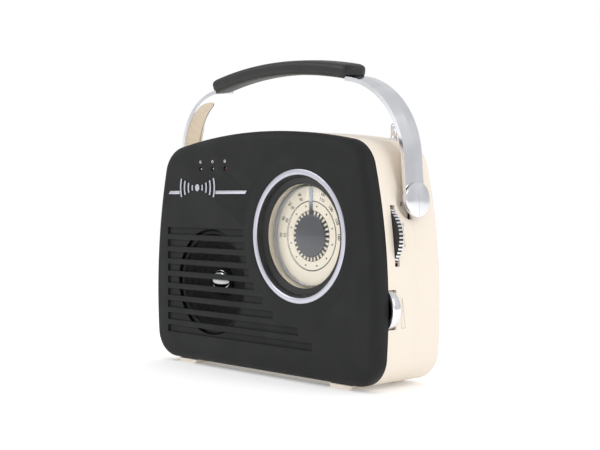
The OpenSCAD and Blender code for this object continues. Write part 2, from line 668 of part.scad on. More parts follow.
foot_y = [-26, 22];
module feet() color("#efe7db") for (x = [-foot_x, foot_x], y = foot_y)
    translate([x, y + 7, 0]) rotate([90, 0, 0]) linear_extrude(14)
        polygon([[-foot_w / 2 + 2, 0], [foot_w / 2 - 2, 0], [foot_w / 2, foot_h],
            [-foot_w / 2, foot_h]]);

// ---- handle ----
bend_c = [arm_half_w - arm_bend_r, 34.8];
web_t = 2;
lip = 2.1;
arm_foot_r = 11.5;
arm_end_a = 84;
insert_end_a = 62;
stub_r = 4.4;
bush_r = 4.46;
cap_r = 13.5;
cap_t = 2.2;

// A section (x outwards, y across the arm) carried up the arm and round its bend
module arm_run(end_a) {
    translate([0, 0, bend_c[1]]) rotate([180, 0, 0])
        linear_extrude(bend_c[1]) translate([arm_half_w, 0]) children();
    translate([bend_c[0], 0, bend_c[1]]) rotate([90, 0, 0])
        rotate_extrude(angle = end_a, $fn = 200) translate([arm_bend_r, 0]) children();
}
module arm_section() difference() {
    translate([-arm_t, -arm_w / 2]) square([arm_t, arm_w]);
    translate([-arm_t - 1, -arm_w / 2 + lip]) square([arm_t + 1 - web_t, arm_w - 2 * lip]);
}
module along_pivot(x0, x1, r) translate([x0, 0, 0]) rotate([0, 90, 0])
    cylinder(h = x1 - x0, r = r, $fn = 96);

module handle_arms() color("#e2e3e8") for (s = [0, 1]) pivot_frame(s) {
    arm_run(arm_end_a) arm_section();
    along_pivot(arm_half_w - arm_t, arm_half_w, arm_foot_r);
    along_pivot(119.5, arm_half_w - arm_t, stub_r);
}
module handle_inserts() color("#e9dcc6") for (s = [0, 1]) pivot_frame(s) difference() {
    arm_run(insert_end_a) translate([-arm_t + 0.6, -arm_w / 2 + lip])
        square([arm_t - 0.6 - web_t, arm_w - 2 * lip]);
    along_pivot(arm_half_w - arm_t - 1, arm_half_w, arm_foot_r);
}
module pivot_caps() color("#dfe0e5") for (s = [0, 1]) pivot_frame(s)
    translate([arm_half_w, 0, 0]) rotate([0, 90, 0]) rotate_extrude($fn = 96)
        polygon([[0, 0], [cap_r, 0], [cap_r, cap_t - 0.5], [cap_r - 0.5, cap_t], [0, cap_t]]);
module pivot_bushes() color("#e6e2d6") for (s = [0, 1]) mirror([s, 0, 0])
    translate([0, pivot_y, pivot_z]) difference() {
        along_pivot(121.5, recess_x + 0.1, bush_hole_r - 0.02);
        along_pivot(110, 140, bush_r);
    }
module pivot_screws() color("#b9babc") for (s = [0, 1]) pivot_frame(s)
    along_pivot(117.5, 119.5, 7);

grip_c_z = grip_top - grip_arch_r;
grip_a = asin(grip_half_l / grip_arch_r);
module grip_run(w, t, inset) translate([0, 0, grip_c_z]) rotate([90, 0, 0])
    rotate([0, 0, 90 - grip_a]) rotate_extrude(angle = 2 * grip_a, $fn = 240)
        translate([grip_arch_r - inset - t / 2, 0]) polygon([[-t / 2, -w / 2 + 3],
            [-t / 2 + 3, -w / 2], [t / 2 - 3, -w / 2], [t / 2, -w / 2 + 3], [t / 2, w / 2 - 3],
            [t / 2 - 3, w / 2], [-t / 2 + 3, w / 2], [-t / 2, w / 2 - 3]]);
module handle_grip() color("#232324") pivot_frame(0) difference() {
    grip_run(grip_w, grip_t, 0);
    for (s = [0, 1]) mirror([s, 0, 0]) arm_run(arm_end_a)
        translate([-arm_t - 0.3, -arm_w / 2 - 0.1]) square([arm_t + 0.5, arm_w + 0.2]);
}

// ---- aerial ----
aerial_hole_r = 5.2;
tube_r = 4.2;
tube_wall = 0.62;
tube_gap = 0.08;
aerial_top = 193.4;
aerial_low = 26;
tip_top = 205.5;
function section_r(i) = tube_r - i * (tube_wall + tube_gap);
module aerial_pipe(i, z0) color("#d9dade") translate([aerial_x, aerial_y, z0]) difference() {
    cylinder(h = aerial_top - z0, r = section_r(i), $fn = 48);
    if (i < aerial_sections) translate([0, 0, 2])
        cylinder(h = aerial_top - z0, r = section_r(i) - tube_wall, $fn = 48);
}
module aerial_tube() {
    aerial_pipe(0, aerial_low);
    color("#d9dade") translate([aerial_x, aerial_y, aerial_top - 2.6]) difference() {
        cylinder(h = 2.6, r = aerial_hole_r - 0.15, $fn = 64);
        translate([0, 0, -1]) cylinder(h = 5, r = tube_r - 0.2, $fn = 64);
    }
}
module aerial_section_1() aerial_pipe(1, aerial_low + 3);
module aerial_section_2() aerial_pipe(2, aerial_low + 6);
module aerial_section_3() aerial_pipe(3, aerial_low + 9);
module aerial_section_4() aerial_pipe(4, aerial_low + 12);
module aerial_tip() color("#e2e3e8") translate([aerial_x, aerial_y, 0]) rotate_extrude($fn = 64)
    polygon([[0, aerial_top + 0.01], [3.4, aerial_top + 0.3], [4.1, aerial_top + 1.2], [4.1, tip_top - 3],
        [3.4, tip_top - 1.2], [2, tip_top - 0.3], [0, tip_top]]);

front_cover();
main_case();
rear_cover();
battery_door();
batteries();
battery_springs();
battery_contacts();
dial_ring();
dial_bezel();
dial_lens();
dial_plate();
dial_pointer();
dial_hub_cap();
dial_gear();
tuning_capacitor();
tuning_shaft();
tuning_wheel();
tuning_pinion();
tuning_axle();
volume_wheel();
volume_pot();
volume_screw();
band_switch_knob();
band_switch_body();
speaker_frame();
speaker_surround();
speaker_cone();
speaker_dust_cap();
speaker_magnet();
speaker_screws();
main_board();
board_screws();
power_amp();
heat_sink();
filter_capacitors();
led_board();
led_lamps();
ferrite_rod();
ferrite_coil();
rod_holders();
transformer_core();
transformer_coil();
mains_inlet();
aux_jack();
headphone_jack();
case_screws();
trim_bar();
feet();
handle_arms();
handle_inserts();
handle_grip();
pivot_bushes();
pivot_caps();
pivot_screws();
aerial_tube();
aerial_section_1();
aerial_section_2();
aerial_section_3();
aerial_section_4();
aerial_tip();
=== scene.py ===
# %% [markdown]
# # A tabletop radio with a carrying handle
# The radio is a black front cover on a cream case, with a round dial under a clear cup,
# a slotted speaker field, two edge wheels, a chrome handle with a black grip and a
# pull-out aerial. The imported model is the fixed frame: every piece made here takes its
# place from it, rides on one of its bodies, and is drawn in millimetres before it is
# scaled to metres.
# %% Load the frame
import json
import math

import bmesh
import bpy
from mathutils import Matrix, Vector

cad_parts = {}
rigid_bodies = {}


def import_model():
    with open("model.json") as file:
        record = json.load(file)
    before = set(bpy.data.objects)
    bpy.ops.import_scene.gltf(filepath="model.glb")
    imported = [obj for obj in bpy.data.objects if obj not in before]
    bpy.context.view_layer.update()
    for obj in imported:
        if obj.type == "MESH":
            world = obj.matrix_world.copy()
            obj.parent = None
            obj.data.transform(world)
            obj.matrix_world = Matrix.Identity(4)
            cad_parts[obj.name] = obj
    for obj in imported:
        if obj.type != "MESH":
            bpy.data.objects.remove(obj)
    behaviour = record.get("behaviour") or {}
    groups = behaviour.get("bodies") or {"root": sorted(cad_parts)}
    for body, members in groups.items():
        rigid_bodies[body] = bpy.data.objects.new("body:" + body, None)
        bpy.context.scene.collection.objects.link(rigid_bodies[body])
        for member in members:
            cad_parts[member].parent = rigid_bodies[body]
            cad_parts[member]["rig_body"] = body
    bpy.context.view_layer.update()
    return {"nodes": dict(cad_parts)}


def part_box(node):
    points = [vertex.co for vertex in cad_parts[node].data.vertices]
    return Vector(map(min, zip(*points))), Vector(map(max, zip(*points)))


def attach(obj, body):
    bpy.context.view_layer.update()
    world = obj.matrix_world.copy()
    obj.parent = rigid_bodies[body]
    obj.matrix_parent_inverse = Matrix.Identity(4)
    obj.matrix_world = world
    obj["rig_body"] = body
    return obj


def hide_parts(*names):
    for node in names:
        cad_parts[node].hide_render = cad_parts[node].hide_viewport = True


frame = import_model()
MM = 0.001


def span(node):
    """Lowest and highest corner of a CAD node, in millimetres."""
    low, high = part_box(node)
    return low / MM, high / MM


def middle(node):
    low, high = span(node)
    return (low + high) / 2


def centre_of(node):
    """Where a round CAD node stands, seen from the front."""
    return (middle(node).x, middle(node).z)


def radius_of(node):
    return (span(node)[1].x - span(node)[0].x) / 2


def depth_of(node):
    """How far back and how far forward a CAD node goes."""
    return -span(node)[1].y, -span(node)[0].y


def rounded_top(radius, low, high, steps):
    """The outline of a domed top, from its rim to its middle."""
    turns = [math.pi / 2 * i / steps for i in range(1, steps)]
    return [(radius * math.cos(a), low + (high - low) * math.sin(a)) for a in turns] + [(0, high)]


# %% [markdown]
# ## Camera, floor and light
# The radio stands on a white sweep, seen from its right front corner at the height of
# its waist, through a longish lens so that the lines stay nearly parallel. A white world
# gives even light. Mirrors alone see it with soft grey clouds, so that the chrome has
# tone. Two soft lamps, one from the left front and one from the right, shape the edges.
# %% Camera
CAMERA_AT = (0.69966, -0.64489, 0.14718)
LOOKS_AT = (0.05548, -0.0380, 0.12462)
LENS = 67.78

camera_data = bpy.data.cameras.new("camera")
camera_data.lens = LENS
camera_data.sensor_width = 36.0
camera = bpy.data.objects.new("camera", camera_data)
camera.location = CAMERA_AT
camera.rotation_euler = (Vector(LOOKS_AT) - Vector(CAMERA_AT)).to_track_quat("-Z", "Y").to_euler()
bpy.context.scene.collection.objects.link(camera)
bpy.context.scene.camera = camera
bpy.context.scene.view_settings.view_transform = "Standard"

# %% Floor, world and lamps
WORLD_LEVEL = 1.0
FLOOR_HALF = 3.0
FLOOR_GLOW = 0.16
CLOUD_SCALE = 2.6
CLOUD_GREY = (0.42, 0.43, 0.45, 1.0)

world = bpy.data.worlds.new("studio")
bpy.context.scene.world = world
world.use_nodes = True
tree = world.node_tree
sky = tree.nodes["Background"]
sky.inputs["Strength"].default_value = WORLD_LEVEL
direction = tree.nodes.new("ShaderNodeTexCoord")
clouds = tree.nodes.new("ShaderNodeTexNoise")
clouds.inputs["Scale"].default_value = CLOUD_SCALE
rays = tree.nodes.new("ShaderNodeLightPath")
greyed = tree.nodes.new("ShaderNodeMath")
greyed.operation = "MULTIPLY"
tint = tree.nodes.new("ShaderNodeMix")
tint.data_type = "RGBA"
tint.inputs[6].default_value = (1.0, 1.0, 1.0, 1.0)
tint.inputs[7].default_value = CLOUD_GREY
for output, socket in ((direction.outputs["Generated"], clouds.inputs["Vector"]),
                       (clouds.outputs["Fac"], greyed.inputs[0]),
                       (rays.outputs["Is Glossy Ray"], greyed.inputs[1]),
                       (greyed.outputs[0], tint.inputs[0]), (tint.outputs[2], sky.inputs["Color"])):
    tree.links.new(output, socket)

floor_bm = bmesh.new()
bmesh.ops.create_grid(floor_bm, x_segments=1, y_segments=1, size=FLOOR_HALF)
floor_mesh = bpy.data.meshes.new("floor")
floor_bm.to_mesh(floor_mesh)
floor_bm.free()
floor = bpy.data.objects.new("floor", floor_mesh)
bpy.context.scene.collection.objects.link(floor)
floor_paint = bpy.data.materials.new("floor_paper")
floor_paint.use_nodes = True
paper = floor_paint.node_tree.nodes["Principled BSDF"].inputs
paper["Base Color"].default_value = (0.93, 0.93, 0.93, 1)
paper["Emission Color"].default_value = (1.0, 1.0, 1.0, 1)
paper["Emission Strength"].default_value = FLOOR_GLOW
paper["Roughness"].default_value = 0.9
floor_mesh.materials.append(floor_paint)


def lamp(name, place, aim, size, watts):
    """A square soft lamp that points at aim."""
    data = bpy.data.lights.new(name, "AREA")
    data.size = size
    data.energy = watts
    light = bpy.data.objects.new(name, data)
    light.location = place
    light.rotation_euler = (Vector(aim) - Vector(place)).to_track_quat("-Z", "Y").to_euler()
    bpy.context.scene.collection.objects.link(light)


lamp("key_lamp", (-0.9, -1.3, 1.3), (0, 0, 0.12), 0.9, 9.0)
lamp("side_lamp", (1.5, 0.1, 0.9), (0.1, 0, 0.12), 0.8, 5.0)

# %% [markdown]
# ## Finishes
# A moulded or plated part is never one flat colour. Three small node groups carry what
# the finishes share: a fine grain that raises the surface, a slow drift of tone, and a
# handling mark that changes how much a surface shines. Each is built once and placed in
# every material with that material's own numbers.
# %% Node groups
def new_group(name, inputs, outputs):
    """A shader node group with number inputs, and its input and output nodes."""
    group = bpy.data.node_groups.new(name, "ShaderNodeTree")
    for label, kind, value in inputs:
        socket = group.interface.new_socket(label, in_out="INPUT", socket_type=kind)
        socket.default_value = value
    for label, kind in outputs:
        group.interface.new_socket(label, in_out="OUTPUT", socket_type=kind)
    return group, group.nodes.new("NodeGroupInput"), group.nodes.new("NodeGroupOutput")


def noise(tree, scale, detail, roughness=0.5):
    """A noise texture on Object coordinates; scale is a number or an output socket."""
    where = tree.nodes.new("ShaderNodeTexCoord")
    texture = tree.nodes.new("ShaderNodeTexNoise")
    tree.links.new(where.outputs["Object"], texture.inputs["Vector"])
    texture.inputs["Detail"].default_value = detail
    texture.inputs["Roughness"].default_value = roughness
    if isinstance(scale, (int, float)):
        texture.inputs["Scale"].default_value = scale
    else:
        tree.links.new(scale, texture.inputs["Scale"])
    return texture


def spread(tree, value, low, high):
    """Maps 0.3 to 0.7 of a noise onto low to high; low and high are output sockets."""
    mapped = tree.nodes.new("ShaderNodeMapRange")
    mapped.inputs["From Min"].default_value = 0.3
    mapped.inputs["From Max"].default_value = 0.7
    tree.links.new(value, mapped.inputs["Value"])
    tree.links.new(low, mapped.inputs["To Min"])
    tree.links.new(high, mapped.inputs["To Max"])
    return mapped.outputs["Result"]


grain_group, grain_in, grain_out = new_group(
    "fine_grain", [("Scale", "NodeSocketFloat", 2500.0), ("Coarse", "NodeSocketFloat", 0.3)],
    [("Height", "NodeSocketFloat")])
fine = noise(grain_group, grain_in.outputs["Scale"], 2.0)
lumps = noise(grain_group, 240.0, 2.0)
grain_mix = grain_group.nodes.new("ShaderNodeMix")
grain_group.links.new(grain_in.outputs["Coarse"], grain_mix.inputs[0])
grain_group.links.new(fine.outputs[0], grain_mix.inputs[2])
grain_group.links.new(lumps.outputs[0], grain_mix.inputs[3])
grain_group.links.new(grain_mix.outputs[0], grain_out.inputs["Height"])

tone_group, tone_in, tone_out = new_group(
    "tone_drift", [("Dark", "NodeSocketColor", (0.4, 0.4, 0.4, 1)),
                   ("Light", "NodeSocketColor", (0.5, 0.5, 0.5, 1)),
                   ("Scale", "NodeSocketFloat", 30.0)],
    [("Tone", "NodeSocketColor")])
drift = noise(tone_group, tone_in.outputs["Scale"], 3.0, 0.55)
tone_mix = tone_group.nodes.new("ShaderNodeMix")
tone_mix.data_type = "RGBA"
tone_group.links.new(drift.outputs[0], tone_mix.inputs[0])
tone_group.links.new(tone_in.outputs["Dark"], tone_mix.inputs[6])
tone_group.links.new(tone_in.outputs["Light"], tone_mix.inputs[7])
tone_group.links.new(tone_mix.outputs[2], tone_out.inputs["Tone"])

touch_group, touch_in, touch_out = new_group(
    "handling_marks", [("Smooth", "NodeSocketFloat", 0.3), ("Rough", "NodeSocketFloat", 0.4),
                       ("Scale", "NodeSocketFloat", 45.0)],
    [("Roughness", "NodeSocketFloat")])
smear = noise(touch_group, touch_in.outputs["Scale"], 4.0, 0.6)
touch_group.links.new(
    spread(touch_group, smear.outputs[0], touch_in.outputs["Smooth"], touch_in.outputs["Rough"]),
    touch_out.inputs["Roughness"])
print("node groups:", [g.name for g in bpy.data.node_groups])


# %% [markdown]
# One function places the three groups in a material. The numbers that are the same all
# over, such as metallic or coat, are set on the shader itself. Colours are linear.
# %% The finish function
def place_group(tree, group, **values):
    placed = tree.nodes.new("ShaderNodeGroup")
    placed.node_tree = group
    for label, value in values.items():
        placed.inputs[label].default_value = value
    return placed


def finish(name, tone, rough, drift=0.06, drift_scale=30.0, grain=0.0, grain_scale=2500.0,
           coarse=0.3, touch=0.05, **shader_values):
    """A procedural material: a drifting tone, an uneven shine and a raised grain in mm."""
    paint = bpy.data.materials.new(name)
    paint.use_nodes = True
    tree = paint.node_tree
    shader = tree.nodes["Principled BSDF"]
    dark = [max(0.0, c * (1 - drift)) for c in tone] + [1.0]
    light = [min(1.0, c * (1 + drift)) for c in tone] + [1.0]
    tones = place_group(tree, tone_group, Dark=dark, Light=light, Scale=drift_scale)
    tree.links.new(tones.outputs["Tone"], shader.inputs["Base Color"])
    shine = place_group(tree, touch_group, Smooth=max(0.0, rough - touch), Rough=min(1.0, rough + touch))
    tree.links.new(shine.outputs["Roughness"], shader.inputs["Roughness"])
    if grain > 0:
        height = place_group(tree, grain_group, Scale=grain_scale, Coarse=coarse)
        bump = tree.nodes.new("ShaderNodeBump")
        bump.inputs["Strength"].default_value = 1.0
        bump.inputs["Distance"].default_value = grain * MM
        tree.links.new(height.outputs["Height"], bump.inputs["Height"])
        tree.links.new(bump.outputs["Normal"], shader.inputs["Normal"])
    for label, value in shader_values.items():
        shader.inputs[label.replace("_", " ")].default_value = value
    return paint


# %% The finishes of this radio
PLATED = {"Metallic": 1.0}
soft_black = finish("soft_touch_black", (0.0062, 0.0070, 0.0066), 0.68, grain=0.05, grain_scale=1700.0,
                    drift=0.12, Specular_IOR_Level=0.35)
grip_rubber = finish("grip_rubber", (0.0085, 0.0085, 0.008), 0.5, grain=0.06, grain_scale=1300.0, drift=0.12)
case_cream = finish("case_cream", (0.775, 0.70, 0.605), 0.42, drift=0.012, grain=0.03, grain_scale=1500.0,
                    Specular_IOR_Level=0.4)
insert_cream = finish("insert_cream", (0.76, 0.66, 0.53), 0.45, drift=0.03, grain=0.02)
ring_silver = finish("ring_silver", (0.60, 0.60, 0.665), 0.34, drift=0.02, touch=0.04, grain=0.008,
                     grain_scale=4000.0, **PLATED)
handle_chrome = finish("handle_chrome", (0.80, 0.805, 0.835), 0.14, drift=0.09, drift_scale=42.0,
                       touch=0.05, grain=0.012, grain_scale=120.0, coarse=0.5, **PLATED)
wheel_chrome = finish("wheel_chrome", (0.83, 0.83, 0.86), 0.16, drift=0.03, **PLATED)
bezel_black = finish("bezel_black", (0.004, 0.0045, 0.004), 0.45, drift=0.2, grain=0.01)
dial_cream = finish("dial_cream", (0.90, 0.82, 0.68), 0.55, drift=0.025, drift_scale=60.0, grain=0.01)
dial_ink = finish("dial_ink", (0.008, 0.008, 0.009), 0.6, drift=0.2)
hub_grey = finish("hub_grey", (0.040, 0.042, 0.052), 0.38, drift=0.06, grain=0.006, Coat_Weight=0.4)
socket_black = finish("socket_black", (0.012, 0.012, 0.013), 0.45, drift=0.2, grain=0.02)
cone_paper = finish("cone_paper", (0.013, 0.0135, 0.013), 0.95, drift=0.4, drift_scale=300.0, grain=0.12,
                    grain_scale=900.0)
cap_silver = finish("dust_cap_silver", (0.45, 0.45, 0.47), 0.1, drift=0.05, **PLATED)
frame_dark = finish("speaker_frame_dark", (0.006, 0.006, 0.0065), 0.8, drift=0.2, grain=0.02)
steel = finish("zinc_steel", (0.56, 0.56, 0.55), 0.32, drift=0.1, grain=0.01, **PLATED)
magnet_grey = finish("magnet_grey", (0.1, 0.1, 0.105), 0.6, drift=0.2, grain=0.05)
nylon = finish("nylon_white", (0.78, 0.75, 0.68), 0.4, drift=0.03, grain=0.01)
board_brown = finish("board_brown", (0.30, 0.18, 0.06), 0.5, drift=0.15, drift_scale=90.0, grain=0.02)
board_green = finish("board_green", (0.03, 0.16, 0.05), 0.35, drift=0.15, drift_scale=90.0)
ferrite_dark = finish("ferrite_dark", (0.045, 0.04, 0.038), 0.6, drift=0.2, grain=0.05)
copper = finish("enamelled_copper", (0.62, 0.22, 0.08), 0.3, drift=0.15, drift_scale=400.0, **PLATED)
iron = finish("core_iron", (0.24, 0.25, 0.26), 0.45, drift=0.15, grain=0.02, **PLATED)
aluminium = finish("aluminium", (0.62, 0.63, 0.65), 0.35, drift=0.06, **PLATED)
can_blue = finish("capacitor_blue", (0.02, 0.05, 0.17), 0.35, drift=0.1)
cell_wrap = finish("cell_wrap", (0.52, 0.27, 0.07), 0.3, drift=0.08, Coat_Weight=0.5)
chip_black = finish("chip_black", (0.014, 0.014, 0.015), 0.55, drift=0.2, grain=0.02)
lamp_red = finish("lamp_red", (0.75, 0.02, 0.03), 0.15, drift=0.1, Transmission_Weight=0.5, IOR=1.5)
lamp_clear = finish("lamp_clear", (0.9, 0.93, 0.96), 0.1, drift=0.02, Transmission_Weight=0.6, IOR=1.5)
lens_clear = finish("lens_clear", (0.975, 0.985, 0.99), 0.012, drift=0.004, touch=0.006,
                    Transmission_Weight=1.0, IOR=1.03, Alpha=0.5, Coat_Weight=1.0, Coat_IOR=1.5,
                    Coat_Roughness=0.02)
print_white = finish("print_white", (0.72, 0.72, 0.70), 0.6, drift=0.1)
print_grey = finish("print_grey", (0.42, 0.38, 0.33), 0.7, drift=0.1)
print("materials:", len(bpy.data.materials))

# %% [markdown]
# ## Tools of the workshop
# A CAD model gives exact corners; a moulded part has broken edges, and its curves shade
# smoothly. Most pieces here are drawn flat as they lie in the face of the radio, with x
# to the right, y up and z forward out of the front, and settle() turns them upright.
# %% From a drawing to a piece in its place
FACE = Matrix.Scale(MM, 4) @ Matrix.Rotation(math.radians(90), 4, "X")
UPRIGHT = Matrix.Scale(MM, 4)


GENTLE_BEND = (0.2, 12)


def mark_sharp(bm, angle):
    """Shades curves smoothly; a many-sided face stays flat unless it is part of a gentle curve."""
    for face in bm.faces:
        bends = [math.degrees(e.calc_face_angle()) for e in face.edges if len(e.link_faces) == 2]
        face.smooth = len(face.verts) < 5 or any(GENTLE_BEND[0] < b < GENTLE_BEND[1] for b in bends)
    for edge in bm.edges:
        if len(edge.link_faces) == 2:
            edge.smooth = edge.calc_face_angle() < math.radians(angle)


def settle(name, bm, paint, nodes=(), body=None, place=FACE, sharp=32):
    """Scales a finished drawing into its place and lets it ride on its CAD body."""
    mark_sharp(bm, sharp)
    bm.transform(place)
    mesh = bpy.data.meshes.new(name)
    bm.to_mesh(mesh)
    bm.free()
    piece = bpy.data.objects.new(name, mesh)
    bpy.context.scene.collection.objects.link(piece)
    mesh.materials.append(paint)
    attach(piece, body or frame["nodes"][nodes[0]]["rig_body"])
    if nodes:
        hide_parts(*nodes)
    print(f"{name}: {len(mesh.polygons)} faces")
    return piece


# %% Solids to start from
def box_into(bm, x, y, z):
    """Adds a box; each of x, y and z is a (low, high) pair."""
    low, high = Vector((x[0], y[0], z[0])), Vector((x[1], y[1], z[1]))
    size = Matrix.Diagonal((*(high - low), 1.0))
    return bmesh.ops.create_cube(bm, size=1.0, matrix=Matrix.Translation((low + high) / 2) @ size)["verts"]


def rod_into(bm, x, y, z, radius, top_radius=None, segments=64):
    """Adds a rod or cone along z, from z[0] to z[1]."""
    return bmesh.ops.create_cone(
        bm, cap_ends=True, segments=segments, radius1=radius,
        radius2=radius if top_radius is None else top_radius, depth=z[1] - z[0],
        matrix=Matrix.Translation((x, y, (z[0] + z[1]) / 2)))["verts"]


def prism(points, low, high):
    """A slab with this outline, from z low to z high."""
    bm = bmesh.new()
    base = bm.faces.new([bm.verts.new((x, y, low)) for x, y in points])
    grown = bmesh.ops.extrude_face_region(bm, geom=[base])["geom"]
    top = [v for v in grown if isinstance(v, bmesh.types.BMVert)]
    bmesh.ops.translate(bm, verts=top, vec=(0, 0, high - low))
    bmesh.ops.recalc_face_normals(bm, faces=bm.faces)
    return bm


def lathe(profile, centre=(0.0, 0.0), steps=128):
    """Turns (radius, height) corners about a z axis; a profile that starts on the axis stays open."""
    bm = bmesh.new()
    corners = [bm.verts.new((centre[0] + r, centre[1], h)) for r, h in profile]
    line = [bm.edges.new(pair) for pair in zip(corners, corners[1:])]
    if profile[0][0] > 0:
        line.append(bm.edges.new((corners[-1], corners[0])))
    bmesh.ops.spin(bm, geom=corners + line, cent=(*centre, 0), axis=(0, 0, 1), dvec=(0, 0, 0),
                   angle=math.tau, steps=steps, use_merge=True, use_duplicate=False)
    bmesh.ops.remove_doubles(bm, verts=bm.verts, dist=1e-4)
    bmesh.ops.recalc_face_normals(bm, faces=bm.faces)
    return bm


def soften(bm, width, angle=30, segments=2):
    """Breaks the edges that are sharper than angle."""
    edges = [e for e in bm.edges if len(e.link_faces) == 2
             and e.calc_face_angle() > math.radians(angle)]
    bmesh.ops.bevel(bm, geom=edges, offset=width, offset_type="OFFSET", affect="EDGES",
                    segments=segments, profile=0.5, material=-1, clamp_overlap=True)
    return bm


# %% Cutting and joining
def as_object(bm, name):
    mesh = bpy.data.meshes.new(name)
    bm.to_mesh(mesh)
    bm.free()
    made = bpy.data.objects.new(name, mesh)
    bpy.context.scene.collection.objects.link(made)
    return made


def carve(body, tool, how="DIFFERENCE"):
    """Cuts, joins or keeps the overlap of two closed drawings, and gives the new drawing."""
    work, knife = as_object(body, "work"), as_object(tool, "knife")
    step = work.modifiers.new("carve", "BOOLEAN")
    step.operation = how
    step.solver = "EXACT"
    step.object = knife
    bpy.context.view_layer.update()
    made = bpy.data.meshes.new_from_object(work.evaluated_get(bpy.context.evaluated_depsgraph_get()))
    result = bmesh.new()
    result.from_mesh(made)
    for spent in (work, knife):
        old = spent.data
        bpy.data.objects.remove(spent)
        bpy.data.meshes.remove(old)
    bpy.data.meshes.remove(made)
    return result


def from_cad(node):
    """A copy of a CAD node in millimetres, its triangles rejoined into whole faces."""
    bm = bmesh.new()
    bm.from_mesh(frame["nodes"][node].data)
    bm.transform(Matrix.Scale(1 / MM, 4))
    bmesh.ops.remove_doubles(bm, verts=bm.verts, dist=1e-3)
    bmesh.ops.dissolve_limit(bm, angle_limit=math.radians(1.0), use_dissolve_boundaries=False,
                             verts=bm.verts, edges=bm.edges)
    return bm


def dressed(node, paint, edge=0.2, angle=35, segments=2, sharp=35):
    """A CAD node's own shape with its edges broken, in the node's place."""
    bm = from_cad(node)
    if edge > 0:
        soften(bm, edge, angle, segments)
    return settle(node + "_finished", bm, paint, [node], place=UPRIGHT, sharp=sharp)


# %% [markdown]
# ## The case
# All three case mouldings share one outline: an arched top, two round shoulders, two
# sides that bow out a little, two round bottom corners and a flat base. Each arc meets
# the next without a corner, so a small function works out the centres and hands back as
# many points as the curve needs.
# %% The outline of the case
BASE_Z = span("main_case")[0].z
CASE_TOP = span("main_case")[1].z
CASE_HALF_W = span("main_case")[1].x
WAIST_Z = 62.0
SIDE_R = 458.0
ARCH_R = 560.0
SHOULDER_R = 27.0
CORNER_R = 24.0
side_centre = Vector((CASE_HALF_W - SIDE_R, WAIST_Z))
arch_centre = Vector((0.0, CASE_TOP - ARCH_R))


def crossing(a, ra, b, rb):
    """The upper meeting point of two circles."""
    line = b - a
    along = (line.length_squared + ra * ra - rb * rb) / (2 * line.length)
    aside = math.sqrt(ra * ra - along * along)
    unit = line.normalized()
    ends = [a + unit * along + Vector((-unit.y, unit.x)) * aside * s for s in (-1, 1)]
    return max(ends, key=lambda p: p.y)


shoulder_centre = crossing(side_centre, SIDE_R - SHOULDER_R, arch_centre, ARCH_R - SHOULDER_R)
corner_rise = BASE_Z + CORNER_R - WAIST_Z
corner_centre = Vector((side_centre.x + math.sqrt((SIDE_R - CORNER_R) ** 2 - corner_rise ** 2),
                        BASE_Z + CORNER_R))


def bearing(a, b):
    return math.degrees(math.atan2(b.y - a.y, b.x - a.x))


def side_x(z):
    """How far the case's side is from the middle at this height."""
    return side_centre.x + math.sqrt(SIDE_R ** 2 - (z - WAIST_Z) ** 2)


def arc(centre, radius, start, stop, count, first=1):
    angles = [math.radians(start + (stop - start) * i / count) for i in range(first, count + 1)]
    return [(centre.x + radius * math.cos(a), centre.y + radius * math.sin(a)) for a in angles]


def outline(inset=0.0):
    """The case outline, moved inwards by inset."""
    side_low, side_high = bearing(side_centre, corner_centre), bearing(side_centre, shoulder_centre)
    arch_low = bearing(arch_centre, shoulder_centre)
    right = (arc(corner_centre, CORNER_R - inset, -90, side_low, 20, 0)
             + arc(side_centre, SIDE_R - inset, side_low, side_high, 14)
             + arc(shoulder_centre, SHOULDER_R - inset, side_high, arch_low, 20)
             + arc(arch_centre, ARCH_R - inset, arch_low, 90, 10))
    return right + [(-x, y) for x, y in reversed(right[:-1])]


print("outline points:", len(outline()), "shoulder centre:", tuple(shoulder_centre))

# %% [markdown]
# The front cover is a shallow tray with a soft edge. A tray is a rounded slab less a
# smaller rounded slab; the bevel operator rolls the front edge over in ten steps. The
# slots are grooves all the way along, but go right through only in front of the speaker,
# as the real moulding does.
# %% The rounded slab and the tray
CASE_WALL = 2.4


def rounded_slab(inset, low, high, radius, segments=10):
    bm = prism(outline(inset), low, high)
    rim = [e for e in bm.edges if all(v.co.z > high - 0.01 for v in e.verts)]
    bmesh.ops.bevel(bm, geom=rim, offset=radius, offset_type="OFFSET", affect="EDGES",
                    segments=segments, profile=0.5, material=-1, clamp_overlap=False)
    return bm


def tray(low, high, radius, floor_t):
    return carve(rounded_slab(0, low, high, radius),
                 rounded_slab(CASE_WALL, low - 1, high - floor_t, radius - CASE_WALL))


# %% Front cover
COVER_BACK = 25.2
FRONT = 38.0
FRONT_ROUND = 8.5
PANEL_T = 3.2
dial_at = centre_of("dial_ring")
RING_R = radius_of("dial_ring")
DIAL_HOLE_R = 48.4
SPEAKER_AT = centre_of("speaker_cone")
OPEN_R = 45.5
SLOT_TOP = 119.7
SLOT_PITCH = 10.87
SLOT_H = 6.3
SLOT_LEFT = -117.0
SLOT_RIGHT = (-13, -11, -9, -6, 0.5, 10.5, 24, 53.5, 69)
SLOT_DEPTH = 1.8
LAMP_X = (-69.8, -53.4, -36.9)
LAMP_Z = middle("led_lamps").z
LAMP_HOLE_R = 1.9


def slot_bars(low, high):
    bars = bmesh.new()
    for i, right in enumerate(SLOT_RIGHT):
        top = SLOT_TOP - i * SLOT_PITCH
        box_into(bars, (SLOT_LEFT, right), (top - SLOT_H, top), (low, high))
    return bars


